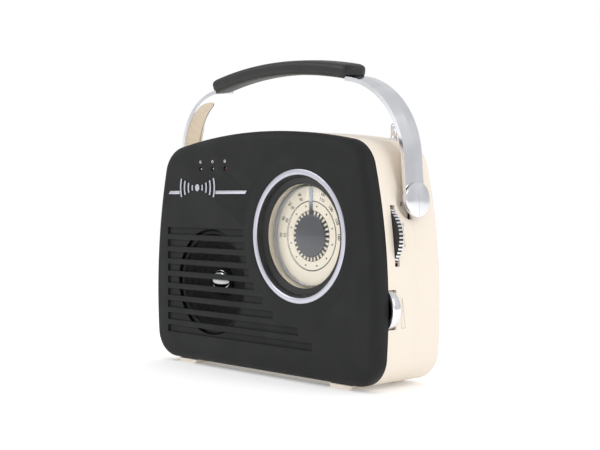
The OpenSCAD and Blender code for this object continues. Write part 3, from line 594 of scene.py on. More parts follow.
cover = tray(COVER_BACK, FRONT, FRONT_ROUND, PANEL_T)
cover = carve(cover, slot_bars(FRONT - SLOT_DEPTH, FRONT + 2))
field = bmesh.new()
rod_into(field, *SPEAKER_AT, (FRONT - PANEL_T - 2, FRONT + 1), OPEN_R, segments=96)
cover = carve(cover, carve(slot_bars(FRONT - PANEL_T - 1, FRONT + 2), field, "INTERSECT"))
holes = bmesh.new()
rod_into(holes, *dial_at, (FRONT - PANEL_T - 1, FRONT + 1), DIAL_HOLE_R, segments=160)
for x in LAMP_X:
    rod_into(holes, x, LAMP_Z, (FRONT - PANEL_T - 1, FRONT + 1), LAMP_HOLE_R, segments=40)
cover = carve(cover, holes)
seat = bmesh.new()
rod_into(seat, *dial_at, (FRONT - 1, FRONT + 1), RING_R + 0.05, segments=160)
cover = carve(cover, seat)
bmesh.ops.remove_doubles(cover, verts=cover.verts, dist=1e-3)
soften(cover, 0.35, angle=50)
settle("front_cover_moulding", cover, soft_black, ["front_cover"], sharp=30)

# %% [markdown]
# A very low swelling runs round the ring, like a ripple in the moulding. It fades to
# nothing at its rim, so it can lie on the cover as a thin shell of its own.
# %% Ripple round the dial
RIPPLE_R = 65.0
RIPPLE_H = 0.55
ripple_steps = 24
swell = [(RING_R, FRONT - 0.15)]
swell += [(RING_R + (RIPPLE_R - RING_R) * i / ripple_steps,
           FRONT + RIPPLE_H * math.sin(math.pi * (0.35 + 0.65 * i / ripple_steps)) ** 2 + 0.004)
          for i in range(ripple_steps + 1)]
swell += [(RIPPLE_R + 0.1, FRONT - 0.15)]
settle("dial_ripple", lathe(swell, dial_at, 160), soft_black, body="case", sharp=60)

# %% [markdown]
# The middle moulding is a band of the same outline. Its wall is thicker behind the
# handle's pivots, where two round seats are sunk, and a shallow channel runs from each
# seat up over the shoulder for the arm to swing in. A tilted rod cuts that channel: it
# is deepest at the shoulder and fades out at the seat.
# %% Helpers for solids that lie another way
PIVOT_Y = middle("pivot_caps").y
PIVOT_Z = middle("pivot_caps").z
REAR_SEAM = span("rear_cover")[0].y
REAR = 38.0


def turned_rod(bm, start, direction, length, radius, segments=96):
    """Adds a rod that starts at a point and runs in any direction."""
    heading = Vector(direction).normalized()
    turn = heading.to_track_quat("Z", "Y").to_matrix().to_4x4()
    place = Matrix.Translation(Vector(start) + heading * length / 2) @ turn
    return bmesh.ops.create_cone(bm, cap_ends=True, segments=segments, radius1=radius, radius2=radius,
                                 depth=length, matrix=place)["verts"]


def knife(*makers):
    """One cutting tool made of solids that don't touch each other."""
    tool = bmesh.new()
    for maker in makers:
        maker(tool)
    return tool


# %% The band of the case
PAD_T = 8.0
PAD_HALF_W = 17.0
SEAT_R = 15.5
SEAT_FLOOR_X = 127.6
BUSH_R = 5.5
CHANNEL_R = 30.0
CHANNEL_DEPTH = 0.2
CHANNEL_TILT = 14.6
TUNING_SLOT = ((120, 150), (94.5, 140.4), (11.6, 16.7))
VOLUME_SLOT = ((128, 150), (47.5, 77.5), (16.5, COVER_BACK + 1))
LEAN = 5.5
COLUMNS = ((112, 166), (122, 34), (-112, 166), (-122, 34), (0, 185))
COLUMN_R = 4.6
aerial_at = (middle("aerial_tube").x, middle("aerial_tube").y)
both = (-1, 1)

band = prism(outline(), -REAR_SEAM, COVER_BACK)
room = prism(outline(CASE_WALL), -REAR_SEAM - 1, COVER_BACK + 1)
pads = bmesh.new()
for side in both:
    box_into(pads, sorted((94 * side, 150 * side)), (PIVOT_Z - 20, 210),
             (-PIVOT_Y - PAD_HALF_W, -PIVOT_Y + PAD_HALF_W))
room = carve(room, carve(pads, prism(outline(PAD_T), -60, 60)))
band = carve(band, room)
columns = bmesh.new()
for x, z in COLUMNS:
    rod_into(columns, x, z, (-REAR_SEAM, COVER_BACK - 0.2), COLUMN_R, segments=40)
band = carve(band, columns, "UNION")
band = carve(band, knife(
    lambda t: box_into(t, *TUNING_SLOT), lambda t: box_into(t, *VOLUME_SLOT)))
seats, bushes, stops, channels = (bmesh.new() for _ in range(4))
tilt, lean = math.radians(CHANNEL_TILT), math.radians(LEAN)
for side in both:
    turned_rod(seats, (SEAT_FLOOR_X * side, PIVOT_Z, -PIVOT_Y), (side, 0, 0), 20, SEAT_R)
    turned_rod(bushes, (100 * side, PIVOT_Z, -PIVOT_Y), (side, 0, 0), 40, BUSH_R)
    box_into(stops, sorted((118 * side, 132 * side)), (PIVOT_Z - 4.8, PIVOT_Z - 1.6),
             (-PIVOT_Y + 4.6, -PIVOT_Y + 7.8))
    turned_rod(channels, ((side_x(PIVOT_Z) + CHANNEL_R - CHANNEL_DEPTH) * side, PIVOT_Z, -PIVOT_Y),
               (-side * math.sin(tilt), math.cos(tilt) * math.cos(lean), math.cos(tilt) * math.sin(lean)),
               90, CHANNEL_R, segments=180)
for tool in (channels, seats, bushes, stops):
    band = carve(band, tool)
top_hole = bmesh.new()
turned_rod(top_hole, (aerial_at[0], 150, -aerial_at[1]), (0, 1, 0), 60, 5.2, segments=48)
band = carve(band, top_hole)
bmesh.ops.remove_doubles(band, verts=band.verts, dist=1e-3)
soften(band, 0.3, angle=42)
settle("case_band", band, case_cream, ["main_case"], sharp=30)

# %% [markdown]
# The rear cover is the same tray turned round. It carries the battery bay, the vents and
# the sockets, so it is joined to the bay's box and then cut from behind.
# %% Rear cover
BAY_X, BAY_Z = (-58.4, 50.4), (13.6, 70.4)
BAY_FLOOR = -8.6
BAY_WALL = 1.6
DOOR_LAP = 2.3
DOOR_SEAT = 2.1
inlet_at = centre_of("mains_inlet")
switch_at = centre_of("band_switch_knob")
JACKS = [centre_of(n) for n in ("aux_jack", "headphone_jack")]
JACK_R = 4.5
REAR_PANEL_T = 3.2
VENTS, VENT_PITCH, VENT_H = 7, 7, 3
OUTSIDE = (-REAR - 1, -20)

rear = tray(REAR_SEAM, REAR, 6.5, REAR_PANEL_T)
bmesh.ops.scale(rear, vec=(1, 1, -1), verts=rear.verts)
bmesh.ops.reverse_faces(rear, faces=rear.faces)
rear = carve(rear, knife(lambda t: box_into(
    t, (BAY_X[0] - BAY_WALL, BAY_X[1] + BAY_WALL), (BAY_Z[0] - BAY_WALL, BAY_Z[1] + BAY_WALL),
    (REAR_PANEL_T - REAR - 0.5, BAY_FLOOR + BAY_WALL))), "UNION")
rear = carve(rear, knife(lambda t: box_into(t, BAY_X, BAY_Z, (-REAR - 1, BAY_FLOOR))))
rear = carve(rear, knife(
    lambda t: box_into(t, (BAY_X[0] - DOOR_LAP - 0.3, BAY_X[1] + DOOR_LAP + 0.3),
                       (BAY_Z[0] - DOOR_LAP - 0.1, BAY_Z[1] + DOOR_LAP + 0.3), (-REAR - 1, DOOR_SEAT - REAR)),
    lambda t: box_into(t, (inlet_at[0] - 11, inlet_at[0] + 11), (inlet_at[1] - 7, inlet_at[1] + 7), OUTSIDE),
    lambda t: box_into(t, (switch_at[0] - 8, switch_at[0] + 8), (switch_at[1] - 2.2, switch_at[1] + 2.2),
                       OUTSIDE),
    *[lambda t, at=at: rod_into(t, *at, OUTSIDE, JACK_R, segments=48) for at in JACKS],
    *[lambda t, at=at: rod_into(t, *at, (-REAR - 1, 2.6 - REAR), 3.1, segments=40) for at in COLUMNS],
    *[lambda t, low=110 + VENT_PITCH * i: box_into(t, (-80, -30), (low, low + VENT_H), OUTSIDE)
      for i in range(VENTS)]))
bmesh.ops.remove_doubles(rear, verts=rear.verts, dist=1e-3)
soften(rear, 0.3, angle=50)
settle("rear_cover_moulding", rear, case_cream, ["rear_cover"], sharp=30)

# %% Door, feet and rear fittings
dressed("battery_door", case_cream, edge=0.25)
dressed("feet", case_cream, edge=0.7, segments=4)
for node, edge in (("mains_inlet", 0.25), ("aux_jack", 0.2), ("headphone_jack", 0.2)):
    dressed(node, socket_black, edge=edge)
dressed("band_switch_knob", socket_black, edge=0.3, segments=3)

# %% [markdown]
# Screw heads are small, but a plain disc reads as a peg. Each head gets a rounded rim
# and a cross recess, cut with two crossed bars.
# %% Case screws
SCREW_HEAD_R = 2.8
HEAD_LOW, HEAD_HIGH = 0.8 - REAR, 2.6 - REAR
screws = bmesh.new()
crosses = bmesh.new()
for x, z in COLUMNS:
    rod_into(screws, x, z, (HEAD_LOW, HEAD_HIGH), SCREW_HEAD_R - 0.4, SCREW_HEAD_R, segments=40)
    rod_into(crosses, x, z, (HEAD_LOW - 1, HEAD_LOW + 0.9), 1.9, 0.9, segments=4)
screws = carve(screws, crosses)
shanks = bmesh.new()
for x, z in COLUMNS:
    rod_into(shanks, x, z, (HEAD_HIGH - 0.1, 32.4), 1.4, segments=24)
screws = carve(screws, shanks, "UNION")
soften(screws, 0.15, angle=40)
settle("case_screws_crossed", screws, steel, ["case_screws"])

# %% [markdown]
# ## The dial
# The dial is a stack: a bright ring let into the cover, a black conical bezel, the cream
# plate with its print, a pointer under a grey hub, and a clear cup over all of it. Every
# round piece is turned on the lathe. The print is thin raised ink, so it needs no image.
# %% Ring, bezel, plate and lens
PLATE_TOP = -span("dial_plate")[0].y
PLATE_BACK = -span("dial_plate")[1].y
LENS_FRONT = -span("dial_lens")[0].y
LENS_R = radius_of("dial_lens")
RING_FRONT = -span("dial_ring")[0].y

ring = lathe([(DIAL_HOLE_R + 0.1, FRONT - 1), (RING_R, FRONT - 1), (RING_R, FRONT + 0.25),
              (RING_R - 0.7, RING_FRONT - 0.05), (RING_R - 2.4, RING_FRONT),
              (DIAL_HOLE_R + 0.9, RING_FRONT - 0.05), (DIAL_HOLE_R + 0.1, FRONT + 0.1)], dial_at, 192)
settle("dial_ring_turned", soften(ring, 0.12, 25), ring_silver, ["dial_ring"])

bezel = lathe([(LENS_R + 0.1, PLATE_TOP), (DIAL_HOLE_R - 0.1, PLATE_TOP), (DIAL_HOLE_R - 0.1, FRONT - 0.8),
               (DIAL_HOLE_R - 1.2, FRONT - 0.8), (DIAL_HOLE_R - 2.2, LENS_FRONT + 1.2),
               (LENS_R + 1.2, LENS_FRONT + 0.4), (LENS_R + 0.1, LENS_FRONT - 0.6)], dial_at, 160)
settle("dial_bezel_turned", soften(bezel, 0.25, 25, 3), bezel_black, ["dial_bezel"])

LINER_TOP = LENS_FRONT - 1.0
plate = lathe([(0, PLATE_BACK), (DIAL_HOLE_R - 0.1, PLATE_BACK), (DIAL_HOLE_R - 0.1, PLATE_TOP - 0.02),
               (LENS_R + 0.09, PLATE_TOP - 0.02), (LENS_R + 0.09, LINER_TOP), (LENS_R + 0.02, LINER_TOP),
               (LENS_R + 0.02, PLATE_TOP), (0, PLATE_TOP)], dial_at, 128)
settle("dial_plate_printed", plate, dial_cream, ["dial_plate"])

LENS_WALL = 1.6
lens = lathe([(LENS_R - LENS_WALL, PLATE_TOP), (LENS_R, PLATE_TOP), (LENS_R, LENS_FRONT - 1.1),
              (LENS_R - 0.35, LENS_FRONT - 0.35), (LENS_R - 1.1, LENS_FRONT - 0.05), (0, LENS_FRONT),
              (0, LENS_FRONT - LENS_WALL), (LENS_R - LENS_WALL - 0.8, LENS_FRONT - LENS_WALL - 0.05),
              (LENS_R - LENS_WALL, LENS_FRONT - LENS_WALL - 0.8)], dial_at, 160)
settle("dial_lens_cup", lens, lens_clear, ["dial_lens"], sharp=50)

# A thin blue-grey ring stands just inside the foot of the lens wall. It is painted shade: its colour stands in
# for the dark band where the lens wall meets the plate.
SHADE_BAND_R, SHADE_BAND_H = LENS_R - LENS_WALL - 0.12, 3.6
shade_band_ring = lathe([(SHADE_BAND_R, PLATE_TOP + 0.02), (SHADE_BAND_R + 0.07, PLATE_TOP + 0.02),
                   (SHADE_BAND_R + 0.07, PLATE_TOP + SHADE_BAND_H), (SHADE_BAND_R, PLATE_TOP + SHADE_BAND_H)],
                  dial_at, 160)
shade_band_paint = finish("lens_foot_painted_shade", (0.40, 0.42, 0.47), 0.25, drift=0.1)
settle("dial_lens_painted_shade_band", shade_band_ring, shade_band_paint, body="case")

# %% The print on the dial
INK_H = 0.05
TICK_DISC_R = 20.5
TICKS = 30
DOTS = 12
SCALE_RING_R, SCALE_RING_W = 27.8, 0.85
DOT_CIRCLE_R, DOT_R = 24.3, 0.75
TICK_SPAN, TICK_HALF = (16.0, 20.1), 0.95
NUMBER_ROWS = ((35.2, (88, 90, 93, 96, 98, 101, 104, 106, 108)),
               (31.0, (53, 60, 70, 80, 90, 110, 130, 150, 160)))
NUMBER_SIZE = 3.7


def around(angle, radius):
    """A point of the dial, by its angle in degrees and its radius."""
    turn = math.radians(angle)
    return (dial_at[0] + radius * math.cos(turn), dial_at[1] + radius * math.sin(turn))


def lettering(words, size, depth):
    """Plain figures as a mesh, centred on the origin."""
    curve = bpy.data.curves.new("figures", "FONT")
    curve.body = words
    curve.size = size
    curve.extrude = depth / 2
    curve.offset = 0.09
    curve.align_x = "CENTER"
    curve.align_y = "CENTER"
    holder = bpy.data.objects.new("figures", curve)
    bpy.context.scene.collection.objects.link(holder)
    bpy.context.view_layer.update()
    mesh = bpy.data.meshes.new_from_object(holder.evaluated_get(bpy.context.evaluated_depsgraph_get()))
    bpy.data.objects.remove(holder)
    return mesh


def ink_ring(bm, at, radius, width, z):
    """Adds a thin flat ring to a drawing."""
    ring_bm = lathe([(radius - width / 2, z), (radius + width / 2, z),
                     (radius + width / 2, z + INK_H), (radius - width / 2, z + INK_H)], at, 96)
    mesh = bpy.data.meshes.new("ring")
    ring_bm.to_mesh(mesh)
    ring_bm.free()
    bm.from_mesh(mesh)
    bpy.data.meshes.remove(mesh)


ink = bmesh.new()
ink_ring(ink, dial_at, SCALE_RING_R, SCALE_RING_W, PLATE_TOP)
rod_into(ink, *dial_at, (PLATE_TOP, PLATE_TOP + INK_H), TICK_DISC_R, segments=96)
for i in range(DOTS):
    rod_into(ink, *around(15 + 360 / DOTS * i, DOT_CIRCLE_R), (PLATE_TOP, PLATE_TOP + INK_H), DOT_R,
             segments=20)
for radius, figures in NUMBER_ROWS:
    for i, figure in enumerate(figures):
        angle = 180 - 180 * i / (len(figures) - 1)
        figure_mesh = lettering(str(figure), NUMBER_SIZE, INK_H)
        figure_mesh.transform(Matrix.Translation((*around(angle, radius), PLATE_TOP + INK_H / 2))
                              @ Matrix.Rotation(math.radians(angle - 90), 4, "Z"))
        ink.from_mesh(figure_mesh)
        bpy.data.meshes.remove(figure_mesh)
settle("dial_print", ink, dial_ink, body="case")

ticks = bmesh.new()
for i in range(TICKS):
    angle = 360 / TICKS * (i + 0.5)
    bar = box_into(ticks, TICK_SPAN, (-TICK_HALF, TICK_HALF), (PLATE_TOP + INK_H, PLATE_TOP + 2 * INK_H))
    bmesh.ops.rotate(ticks, verts=bar, cent=(0, 0, 0), matrix=Matrix.Rotation(math.radians(angle), 3, "Z"))
    bmesh.ops.translate(ticks, verts=bar, vec=(*dial_at, 0))
settle("dial_tick_print", ticks, dial_cream, body="case")

# %% [markdown]
# The pointer is a flat clear strip, painted dark near the hub and left smoky towards its
# tip. Its colour follows the distance from the hub, read from the mesh's own
# coordinates, so it turns with the pointer.
# %% Pointer and hub
POINTER_R = 38.0
POINTER_W = 3.4
FADE_FROM, FADE_TO = 21, 29
NEEDLE_LOW, NEEDLE_HIGH = depth_of("dial_pointer")
HUB_R = radius_of("dial_hub_cap")
HUB_LOW, HUB_HIGH = depth_of("dial_hub_cap")

pointer_paint = finish("pointer_smoke", (0.05, 0.055, 0.065), 0.25, drift=0.05)
tree = pointer_paint.node_tree
where = tree.nodes.new("ShaderNodeTexCoord")
parts = tree.nodes.new("ShaderNodeSeparateXYZ")
reach = tree.nodes.new("ShaderNodeMapRange")
reach.inputs["From Min"].default_value = (dial_at[1] + FADE_FROM) * MM
reach.inputs["From Max"].default_value = (dial_at[1] + FADE_TO) * MM
fade = tree.nodes.new("ShaderNodeMix")
fade.data_type = "RGBA"
fade.inputs[6].default_value = (0.05, 0.055, 0.07, 1)
fade.inputs[7].default_value = (0.40, 0.45, 0.56, 1)
tree.links.new(where.outputs["Object"], parts.inputs[0])
tree.links.new(parts.outputs["Z"], reach.inputs["Value"])
tree.links.new(reach.outputs["Result"], fade.inputs[0])
tree.links.new(fade.outputs[2], tree.nodes["Principled BSDF"].inputs["Base Color"])

needle = bmesh.new()
rod_into(needle, *dial_at, (NEEDLE_LOW, NEEDLE_HIGH), 9, segments=48)
strip = bmesh.new()
box_into(strip, (dial_at[0] - POINTER_W / 2, dial_at[0] + POINTER_W / 2), (dial_at[1], dial_at[1] + POINTER_R),
         (NEEDLE_LOW, NEEDLE_HIGH))
needle = soften(carve(needle, strip, "UNION"), 0.15, 40)
settle("dial_pointer_strip", needle, pointer_paint, ["dial_pointer"])

hub = lathe([(0, HUB_LOW), (HUB_R, HUB_LOW), (HUB_R, HUB_HIGH - 0.5), (HUB_R - 0.4, HUB_HIGH - 0.12),
             (HUB_R - 1.4, HUB_HIGH - 0.03), (0, HUB_HIGH)], dial_at, 128)
settle("dial_hub_cap_turned", hub, hub_grey, ["dial_hub_cap"], sharp=45)

# %% [markdown]
# ## The edge wheels
# Both wheels stand out of the side so that a thumb can roll them. The tuning wheel has a
# coarse knurl: every other facet of its rim is drawn outwards. The volume wheel is
# smooth, with a dished face.
# %% Tuning wheel
TUNING_AT = centre_of("tuning_wheel")
TUNING_R = radius_of("tuning_wheel")
WHEEL_LOW, WHEEL_HIGH = depth_of("tuning_wheel")
KNURLS = 60
KNURL_H = 0.85
wheel = bmesh.new()
rod_into(wheel, *TUNING_AT, (WHEEL_LOW, WHEEL_HIGH), TUNING_R - KNURL_H, segments=2 * KNURLS)
rim = sorted((f for f in wheel.faces if abs(f.normal.z) < 0.5),
             key=lambda f: math.atan2(f.calc_center_median().y - TUNING_AT[1],
                                      f.calc_center_median().x - TUNING_AT[0]))
teeth = bmesh.ops.extrude_discrete_faces(wheel, faces=rim[::2])["faces"]
for tooth in teeth:
    heart = tooth.calc_center_median()
    outward = Vector((heart.x - TUNING_AT[0], heart.y - TUNING_AT[1], 0)).normalized()
    bmesh.ops.translate(wheel, verts=tooth.verts, vec=outward * KNURL_H * 0.97)
    for corner in tooth.verts:
        corner.co += (tooth.calc_center_median() - corner.co) * 0.16
hubs = bmesh.new()
rod_into(hubs, *TUNING_AT, (WHEEL_LOW - 1, WHEEL_HIGH + 1), 2.06, segments=48)
wheel = carve(wheel, hubs)
wheel = soften(wheel, 0.1, 50)
wheel_piece = settle("tuning_wheel_knurled", wheel, wheel_chrome, ["tuning_wheel"])
# Faces nearer the axis than the teeth take the black finish. These are the floors between the teeth and the
# flat sides. The black floors are painted shade in the valleys of the knurl.
wheel_piece.data.materials.append(socket_black)
for face in wheel_piece.data.polygons:
    away = math.hypot(face.center.x / MM - TUNING_AT[0], face.center.z / MM - TUNING_AT[1])
    face.material_index = int(away < TUNING_R - 0.75 * KNURL_H)

# %% Volume wheel
VOLUME_AT = centre_of("volume_wheel")
VOLUME_R = radius_of("volume_wheel")
ROLL_LOW, ROLL_HIGH = depth_of("volume_wheel")
roller = lathe([(0, ROLL_LOW), (VOLUME_R - 0.9, ROLL_LOW), (VOLUME_R - 0.25, ROLL_LOW + 0.3),
                (VOLUME_R, ROLL_LOW + 0.9), (VOLUME_R, ROLL_HIGH - 0.9), (VOLUME_R - 0.25, ROLL_HIGH - 0.3),
                (VOLUME_R - 0.9, ROLL_HIGH), (VOLUME_R - 3, ROLL_HIGH), (VOLUME_R - 4, ROLL_HIGH - 1.5),
                (0, ROLL_HIGH - 1.5)], VOLUME_AT, 144)
settle("volume_wheel_turned", roller, wheel_chrome, ["volume_wheel"], sharp=40)

# %% [markdown]
# ## The speaker
# Behind the open slots sit a pressed frame, a rubber roll, a ribbed paper cone and a
# bright dust cap. Only strips of them show, so the right shapes matter more than fine
# detail: the roll is a half round, and the cone carries a few shallow rings.
# %% Speaker pieces
CONE_BACK, CONE_FRONT = depth_of("speaker_cone")
CONE_R = radius_of("speaker_cone")
CAP_R = radius_of("speaker_dust_cap")
CAP_FRONT = -span("speaker_dust_cap")[0].y
ROLL_R = radius_of("speaker_surround")
ROLL_FRONT = -span("speaker_surround")[0].y
CONE_T = 0.8
CONE_RINGS = 5
CAP_RIM = 5.0


def cone_height(radius):
    """A gently curved cone with shallow rings pressed into it."""
    share = (radius - CAP_R) / (CONE_R - CAP_R)
    swell = 0.9 * math.sin(math.pi * share)
    ripple = 0.22 * math.sin(math.tau * CONE_RINGS * share)
    return CONE_BACK + (CONE_FRONT - CONE_T - CONE_BACK) * share - swell + ripple


radii = [CAP_R + (CONE_R - CAP_R) * i / 48 for i in range(49)]
paper = [(r, cone_height(r) + CONE_T) for r in radii] + [(r, cone_height(r)) for r in reversed(radii)]
settle("speaker_cone_ribbed", lathe(paper, SPEAKER_AT, 96), cone_paper, ["speaker_cone"])

roll_mid, roll_half = (CONE_R + ROLL_R) / 2, (ROLL_R - CONE_R) / 2
roll_low = ROLL_FRONT - roll_half
roll = [(roll_mid - roll_half * math.cos(math.pi * i / 12), roll_low + roll_half * math.sin(math.pi * i / 12))
        for i in range(13)]
roll += [(roll_mid + (roll_half - 0.5) * math.cos(math.pi * i / 12),
          roll_low - 0.3 + (roll_half - 0.5) * math.sin(math.pi * i / 12)) for i in range(13)]
rubber = finish("surround_rubber", (0.006, 0.006, 0.0065), 0.75, drift=0.2, grain=0.02)
settle("speaker_surround_roll", lathe(roll, SPEAKER_AT, 128), rubber, ["speaker_surround"],
       sharp=60)

dome = [(0, CONE_BACK)] + [(CAP_R, CONE_BACK + h) for h in (0, CAP_RIM)]
dome += rounded_top(CAP_R, CONE_BACK + CAP_RIM, CAP_FRONT, 14)
settle("speaker_dust_cap_dome", lathe(dome, SPEAKER_AT, 96), cap_silver, ["speaker_dust_cap"],
       sharp=50)
dressed("speaker_frame", frame_dark, edge=0.2)

# %% [markdown]
# ## The handle
# The handle is drawn upright around its pivot: x across the radio, y through it, z up.
# Each arm is one section carried straight up and then spun round a bend. A second,
# narrower sweep ends in a half round and is cut out of the arm, and a third lays the
# cream insert in that recess.
# %% Sweeping a section up the arm
ARM_HALF_W = -span("handle_inserts")[0].x + 2.0
ARM_T = 4.3
ARM_W = 20.5
BEND_R = 64.0
BEND_Z = 34.8
ARM_END = 84.0
INSERT_END = 62.0
LIP = 2.1
WEB_T = 2.0
FOOT_R = 11.5
STUB_FROM, STUB_R = 119.5, 4.4
HANDLE = UPRIGHT @ Matrix.Translation((0, PIVOT_Y, PIVOT_Z)) @ Matrix.Rotation(math.radians(LEAN), 4, "X")


def arm_sweep(section, end, low=0.0, round_end=0.0):
    """Carries a section (x outwards from the arm's outer face, y across) up and round the bend."""
    bm = bmesh.new()
    face = bm.faces.new([bm.verts.new((ARM_HALF_W + x, y, low)) for x, y in section])
    moved = bmesh.ops.extrude_face_region(bm, geom=[face])["geom"]
    lid = [g for g in moved if isinstance(g, bmesh.types.BMFace)]
    bmesh.ops.translate(bm, verts=lid[0].verts, vec=(0, 0, BEND_Z - low))
    heart = Vector((ARM_HALF_W - BEND_R, 0, BEND_Z))
    bmesh.ops.spin(bm, geom=lid, cent=heart, axis=(0, -1, 0), angle=math.radians(end), steps=int(end * 0.9))
    if round_end > 0:
        for v in bm.verts:
            turned = math.degrees(math.atan2(v.co.z - BEND_Z, v.co.x - heart.x))
            share = (turned - (end - round_end)) / round_end
            if share > 0:
                v.co.y *= math.sqrt(max(1 - share * share, 0.004))
    bmesh.ops.recalc_face_normals(bm, faces=bm.faces)
    return bm


def mirrored(bm):
    """Adds a mirror copy of a drawing on the other side of x = 0."""
    copy = bmesh.ops.duplicate(bm, geom=bm.verts[:] + bm.edges[:] + bm.faces[:])["geom"]
    bmesh.ops.scale(bm, vec=(-1, 1, 1), verts=[g for g in copy if isinstance(g, bmesh.types.BMVert)])
    bmesh.ops.reverse_faces(bm, faces=[g for g in copy if isinstance(g, bmesh.types.BMFace)])
    return bm


# %% Arms
half = ARM_W / 2
arm = arm_sweep([(-ARM_T, -half), (-1.0, -half), (0, 0), (-1.0, half), (-ARM_T, half)], ARM_END)
foot = bmesh.new()
turned_rod(foot, (ARM_HALF_W - ARM_T, 0, 0), (1, 0, 0), ARM_T - 0.05, FOOT_R)
arm = carve(arm, foot, "UNION")
inner = half - LIP
arm = carve(arm, arm_sweep([(-ARM_T - 1, -inner), (-WEB_T, -inner), (-WEB_T, inner), (-ARM_T - 1, inner)],
                           INSERT_END + 0.4, 10.5, 8.0))
stub = bmesh.new()
turned_rod(stub, (STUB_FROM, 0, 0), (1, 0, 0), ARM_HALF_W - ARM_T - STUB_FROM + 0.1, STUB_R, segments=48)
arm = carve(arm, stub, "UNION")
bmesh.ops.remove_doubles(arm, verts=arm.verts, dist=1e-3)
settle("handle_arms_plated", mirrored(soften(arm, 0.3, 40)), handle_chrome, ["handle_arms"],
       place=HANDLE, sharp=9)

insert = arm_sweep([(-ARM_T + 0.6, 0.15 - inner), (-WEB_T - 0.02, 0.15 - inner), (-WEB_T - 0.02, inner - 0.15),
                    (-ARM_T + 0.6, inner - 0.15)], INSERT_END, 0.0, 8.0)
clear = bmesh.new()
turned_rod(clear, (120, 0, 0), (1, 0, 0), 20, FOOT_R + 0.02)
insert = carve(insert, clear)
settle("handle_inserts_moulded", mirrored(soften(insert, 0.2, 50)), insert_cream, ["handle_inserts"],
       place=HANDLE, sharp=20)

# %% [markdown]
# The caps over the pivots are turned like coins and then laid on their side. A fine
# groove across each one carries on the arm's ridge.
# %% Pivot caps
CAP_T = 2.2
cap = lathe([(0, 0), (13.5, 0), (13.5, CAP_T - 1.0), (13.2, CAP_T - 0.35), (12.4, CAP_T - 0.08), (0, CAP_T)],
            steps=112)
cap = carve(cap, knife(lambda t: box_into(t, (-20, 20), (-0.11, 0.11), (CAP_T - 0.3, CAP_T + 1))))
bmesh.ops.rotate(cap, verts=cap.verts, cent=(0, 0, 0), matrix=Matrix.Rotation(math.radians(90), 3, "Y"))
bmesh.ops.translate(cap, verts=cap.verts, vec=(ARM_HALF_W, 0, 0))
settle("pivot_caps_turned", mirrored(cap), handle_chrome, ["pivot_caps"], place=HANDLE,
       sharp=28)
dressed("pivot_screws", steel, edge=0.3)
dressed("pivot_bushes", nylon, edge=0.1)

# %% [markdown]
# The grip is a rounded section spun along a shallow arch. The section shrinks towards
# both ends, which rounds them. The arms' section is cut out of it, so that each arm
# leaves it through a slot.
# %% Grip
GRIP_TOP = 115.4
ARCH_OF_GRIP_R = 392.0
GRIP_W, GRIP_T, GRIP_HALF_L = 24.0, 12.0, 88.0
GRIP_END_L = 10.0
SEAM_X = 82.0


def grip_sweep(inset=0.0):
    """The grip's rounded section, spun along its arch from one end to the other."""
    bm = bmesh.new()
    reach_a = math.asin(GRIP_HALF_L / ARCH_OF_GRIP_R)
    w, t = GRIP_W / 2 - inset, GRIP_T / 2 - inset
    points = []
    for i in range(40):
        a = math.tau * i / 40
        c, s = math.cos(a), math.sin(a)
        points.append((math.copysign(abs(c) ** 0.5, c) * w, math.copysign(abs(s) ** 0.62, s) * t))
    heart = Vector((0, 0, GRIP_TOP - ARCH_OF_GRIP_R))
    start = Matrix.Translation(heart) @ Matrix.Rotation(-reach_a, 4, "Y")
    middle_r = ARCH_OF_GRIP_R - GRIP_T / 2
    face = bm.faces.new([bm.verts.new(start @ Vector((0, y, middle_r + z))) for y, z in points])
    bmesh.ops.spin(bm, geom=[face], cent=heart, axis=(0, 1, 0), angle=2 * reach_a, steps=176)
    for v in bm.verts:
        spoke = v.co - Vector((0, v.co.y, heart.z))
        run = abs(math.atan2(spoke.x, spoke.z)) * middle_r
        share = (run - (reach_a * middle_r - GRIP_END_L)) / GRIP_END_L
        if share > 0:
            shrink = math.sqrt(1 - 0.93 * share ** 2.4)
            v.co.y *= shrink
            spoke *= (middle_r + (spoke.length - middle_r) * (0.35 + 0.65 * shrink)) / spoke.length
            v.co.x, v.co.z = spoke.x, heart.z + spoke.z
    bmesh.ops.recalc_face_normals(bm, faces=bm.faces)
    return bm


grip = grip_sweep()
grip = carve(grip, mirrored(arm_sweep([(-ARM_T - 0.3, -half - 0.15), (0.15, -half - 0.15), (0.15, half + 0.15),
                                       (-ARM_T - 0.3, half + 0.15)], ARM_END + 0.2, 20)))
seam = knife(*[lambda t, s=s: box_into(t, sorted((s * (SEAM_X - 0.14), s * (SEAM_X + 0.14))), (-30, 30),
                                       (60, 130)) for s in both])
grip = carve(grip, carve(seam, grip_sweep(0.3)))
bmesh.ops.remove_doubles(grip, verts=grip.verts, dist=1e-3)
settle("handle_grip_moulded", soften(grip, 0.5, 55, 3), grip_rubber, ["handle_grip"],
       place=HANDLE, sharp=35)

# %% [markdown]
# ## The aerial
# Four tubes slide in each other. Only the tip shows at rest; it is a small turned knob.
# The tubes keep their CAD shape with a fine broken edge.
# %% Tubes and tip
for node in ("aerial_tube", "aerial_section_1", "aerial_section_2", "aerial_section_3"):
    dressed(node, handle_chrome, edge=0.12, angle=60)
dressed("aerial_section_4", handle_chrome, edge=0.1, angle=60)
TIP_DOME = 3.0
TIP_LOW, TIP_HIGH = span("aerial_tip")[0].z, span("aerial_tip")[1].z
TIP_R = radius_of("aerial_tip")
knob = [(0, TIP_LOW), (TIP_R - 0.5, TIP_LOW), (TIP_R, TIP_LOW + 0.5), (TIP_R, TIP_HIGH - TIP_DOME)]
knob += rounded_top(TIP_R, TIP_HIGH - TIP_DOME, TIP_HIGH, 10)
tip = lathe(knob, aerial_at, 64)
settle("aerial_tip_turned", tip, handle_chrome, ["aerial_tip"], place=UPRIGHT, sharp=50)
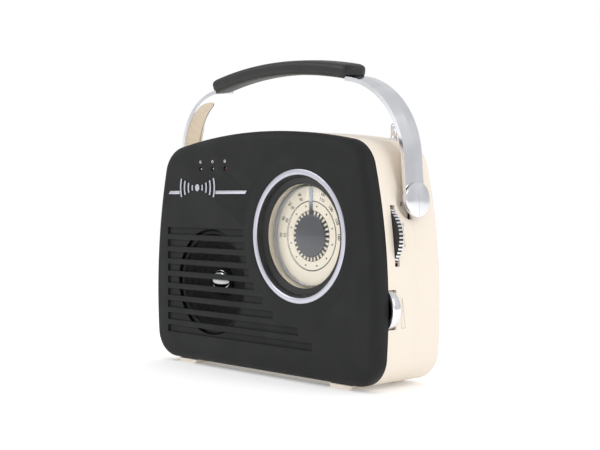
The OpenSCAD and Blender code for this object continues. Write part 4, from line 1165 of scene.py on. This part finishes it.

# %% [markdown]
# ## Trim, lamps and marks
# The bar keeps the CAD's own outline with a fine broken edge. The lamps
# are three, and the last is red, so they are cut from the node one by one. The small
# printed marks are thin raised ink, set just proud of the surface they lie on.
# %% Trim and lamps
dressed("trim_bar", ring_silver, edge=0.15)
LAMP_R, LAMP_DOME = 1.5, 1.3
lamp_low, lamp_high = depth_of("led_lamps")
lamp_paints = (lamp_clear, lamp_clear, lamp_red)
for i, (x, paint) in enumerate(zip(LAMP_X, lamp_paints)):
    bulb = lathe([(0, lamp_low), (LAMP_R, lamp_low), (LAMP_R, lamp_high - LAMP_DOME)]
                 + rounded_top(LAMP_R, lamp_high - LAMP_DOME, lamp_high, 8), (x, LAMP_Z), 40)
    piece = settle(f"led_lamp_{i + 1}", bulb, paint, body="case", sharp=50)
    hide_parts("led_lamps")

# %% Marks printed on the front and the side
PRINT_H = 0.03


def raise_print(bm, corners, lift):
    """Adds a flat face and lifts it off the surface, so that ink has an edge."""
    face = bm.faces.new([bm.verts.new(p) for p in corners])
    raised = bmesh.ops.extrude_face_region(bm, geom=[face])["geom"]
    bmesh.ops.translate(bm, verts=[g for g in raised if isinstance(g, bmesh.types.BMVert)], vec=lift)


def bar_between(bm, a, b, width, z):
    """Adds a flat printed line from a to b."""
    a, b = Vector(a), Vector(b)
    along_it = (b - a).normalized()
    across = Vector((-along_it.y, along_it.x)) * width / 2
    corners = [(*p, z) for p in (a - across, b - across, b + across, a + across)]
    raise_print(bm, corners, (0, 0, PRINT_H))


marks = bmesh.new()
for x in LAMP_X:
    ink_ring(marks, (x, LAMP_Z + 6.0), 1.1, 0.3, FRONT)
    bar_between(marks, (x - 1.1, LAMP_Z + 6.0), (x + 1.1, LAMP_Z + 6.0), 0.3, FRONT)
bmesh.ops.recalc_face_normals(marks, faces=marks.faces)
settle("lamp_marks", marks, print_white, body="case")


def on_side(bm, points, width):
    """Adds printed lines on the right-hand side; each point is (forward, up)."""
    for (f0, z0), (f1, z1) in zip(points, points[1:]):
        steps = 4
        for k in range(steps):
            pieces = []
            for share in (k / steps, (k + 1) / steps):
                f, z = f0 + (f1 - f0) * share, z0 + (z1 - z0) * share
                pieces.append(Vector((side_x(z), z, f)))
            a, b = pieces
            run = (b - a).normalized()
            across = run.cross(Vector((1, 0, 0))).normalized() * width / 2
            raise_print(bm, (a - across, b - across, b + across, a + across), (PRINT_H, 0, 0))


side_marks = bmesh.new()
ARROW_UP = ([(4.4, 121.0), (4.4, 127.0)], [(3.2, 125.2), (4.4, 127.2), (5.6, 125.2)])
DASH = [(3.4, 118.0), (5.4, 118.0)]
ARROW_DOWN = ([(4.4, 115.0), (4.4, 109.0)], [(3.2, 110.8), (4.4, 108.8), (5.6, 110.8)])
WEDGE = [(10.2, 71.2), (10.5, 48.2), (6.3, 48.2), (10.2, 71.2)]
for line in (*ARROW_UP, DASH, *ARROW_DOWN):
    on_side(side_marks, line, 0.45)
on_side(side_marks, WEDGE, 0.4)
bmesh.ops.recalc_face_normals(side_marks, faces=side_marks.faces)
settle("side_marks", side_marks, print_grey, body="case")

# %% [markdown]
# ## Inside the case
# The works are not seen at rest, but they are drawn as well. Each keeps its CAD shape
# with a fine broken edge and takes the finish of what it is made of.
# %% Works
works = {
    "speaker_magnet": (magnet_grey, "magnet_grey"), "speaker_screws": (steel, "steel"),
    "main_board": (board_brown, "board_brown"), "board_screws": (steel, "steel"),
    "power_amp": (chip_black, "black_plastic"), "heat_sink": (aluminium, "aluminium"),
    "filter_capacitors": (can_blue, "can_blue"), "led_board": (board_green, "board_green"),
    "ferrite_rod": (ferrite_dark, "ferrite"), "ferrite_coil": (copper, "copper"),
    "rod_holders": (nylon, "gear_plastic"), "transformer_core": (iron, "iron"),
    "transformer_coil": (copper, "copper"), "batteries": (cell_wrap, "cell_wrap"),
    "battery_springs": (steel, "steel"), "battery_contacts": (steel, "steel"),
    "volume_screw": (steel, "steel"), "tuning_pinion": (nylon, "gear_plastic"),
    "dial_gear": (nylon, "gear_plastic"), "tuning_shaft": (steel, "steel"), "tuning_axle": (steel, "steel"),
    "tuning_capacitor": (aluminium, "aluminium"), "volume_pot": (chip_black, "black_plastic"),
    "band_switch_body": (steel, "steel"),
}
plain = {"tuning_pinion", "dial_gear", "battery_springs", "ferrite_coil"}
for node, (paint, slot) in works.items():
    if node in frame["nodes"]:
        dressed(node, paint, edge=0 if node in plain else 0.12, angle=50)
print("CAD nodes:", len(frame["nodes"]))
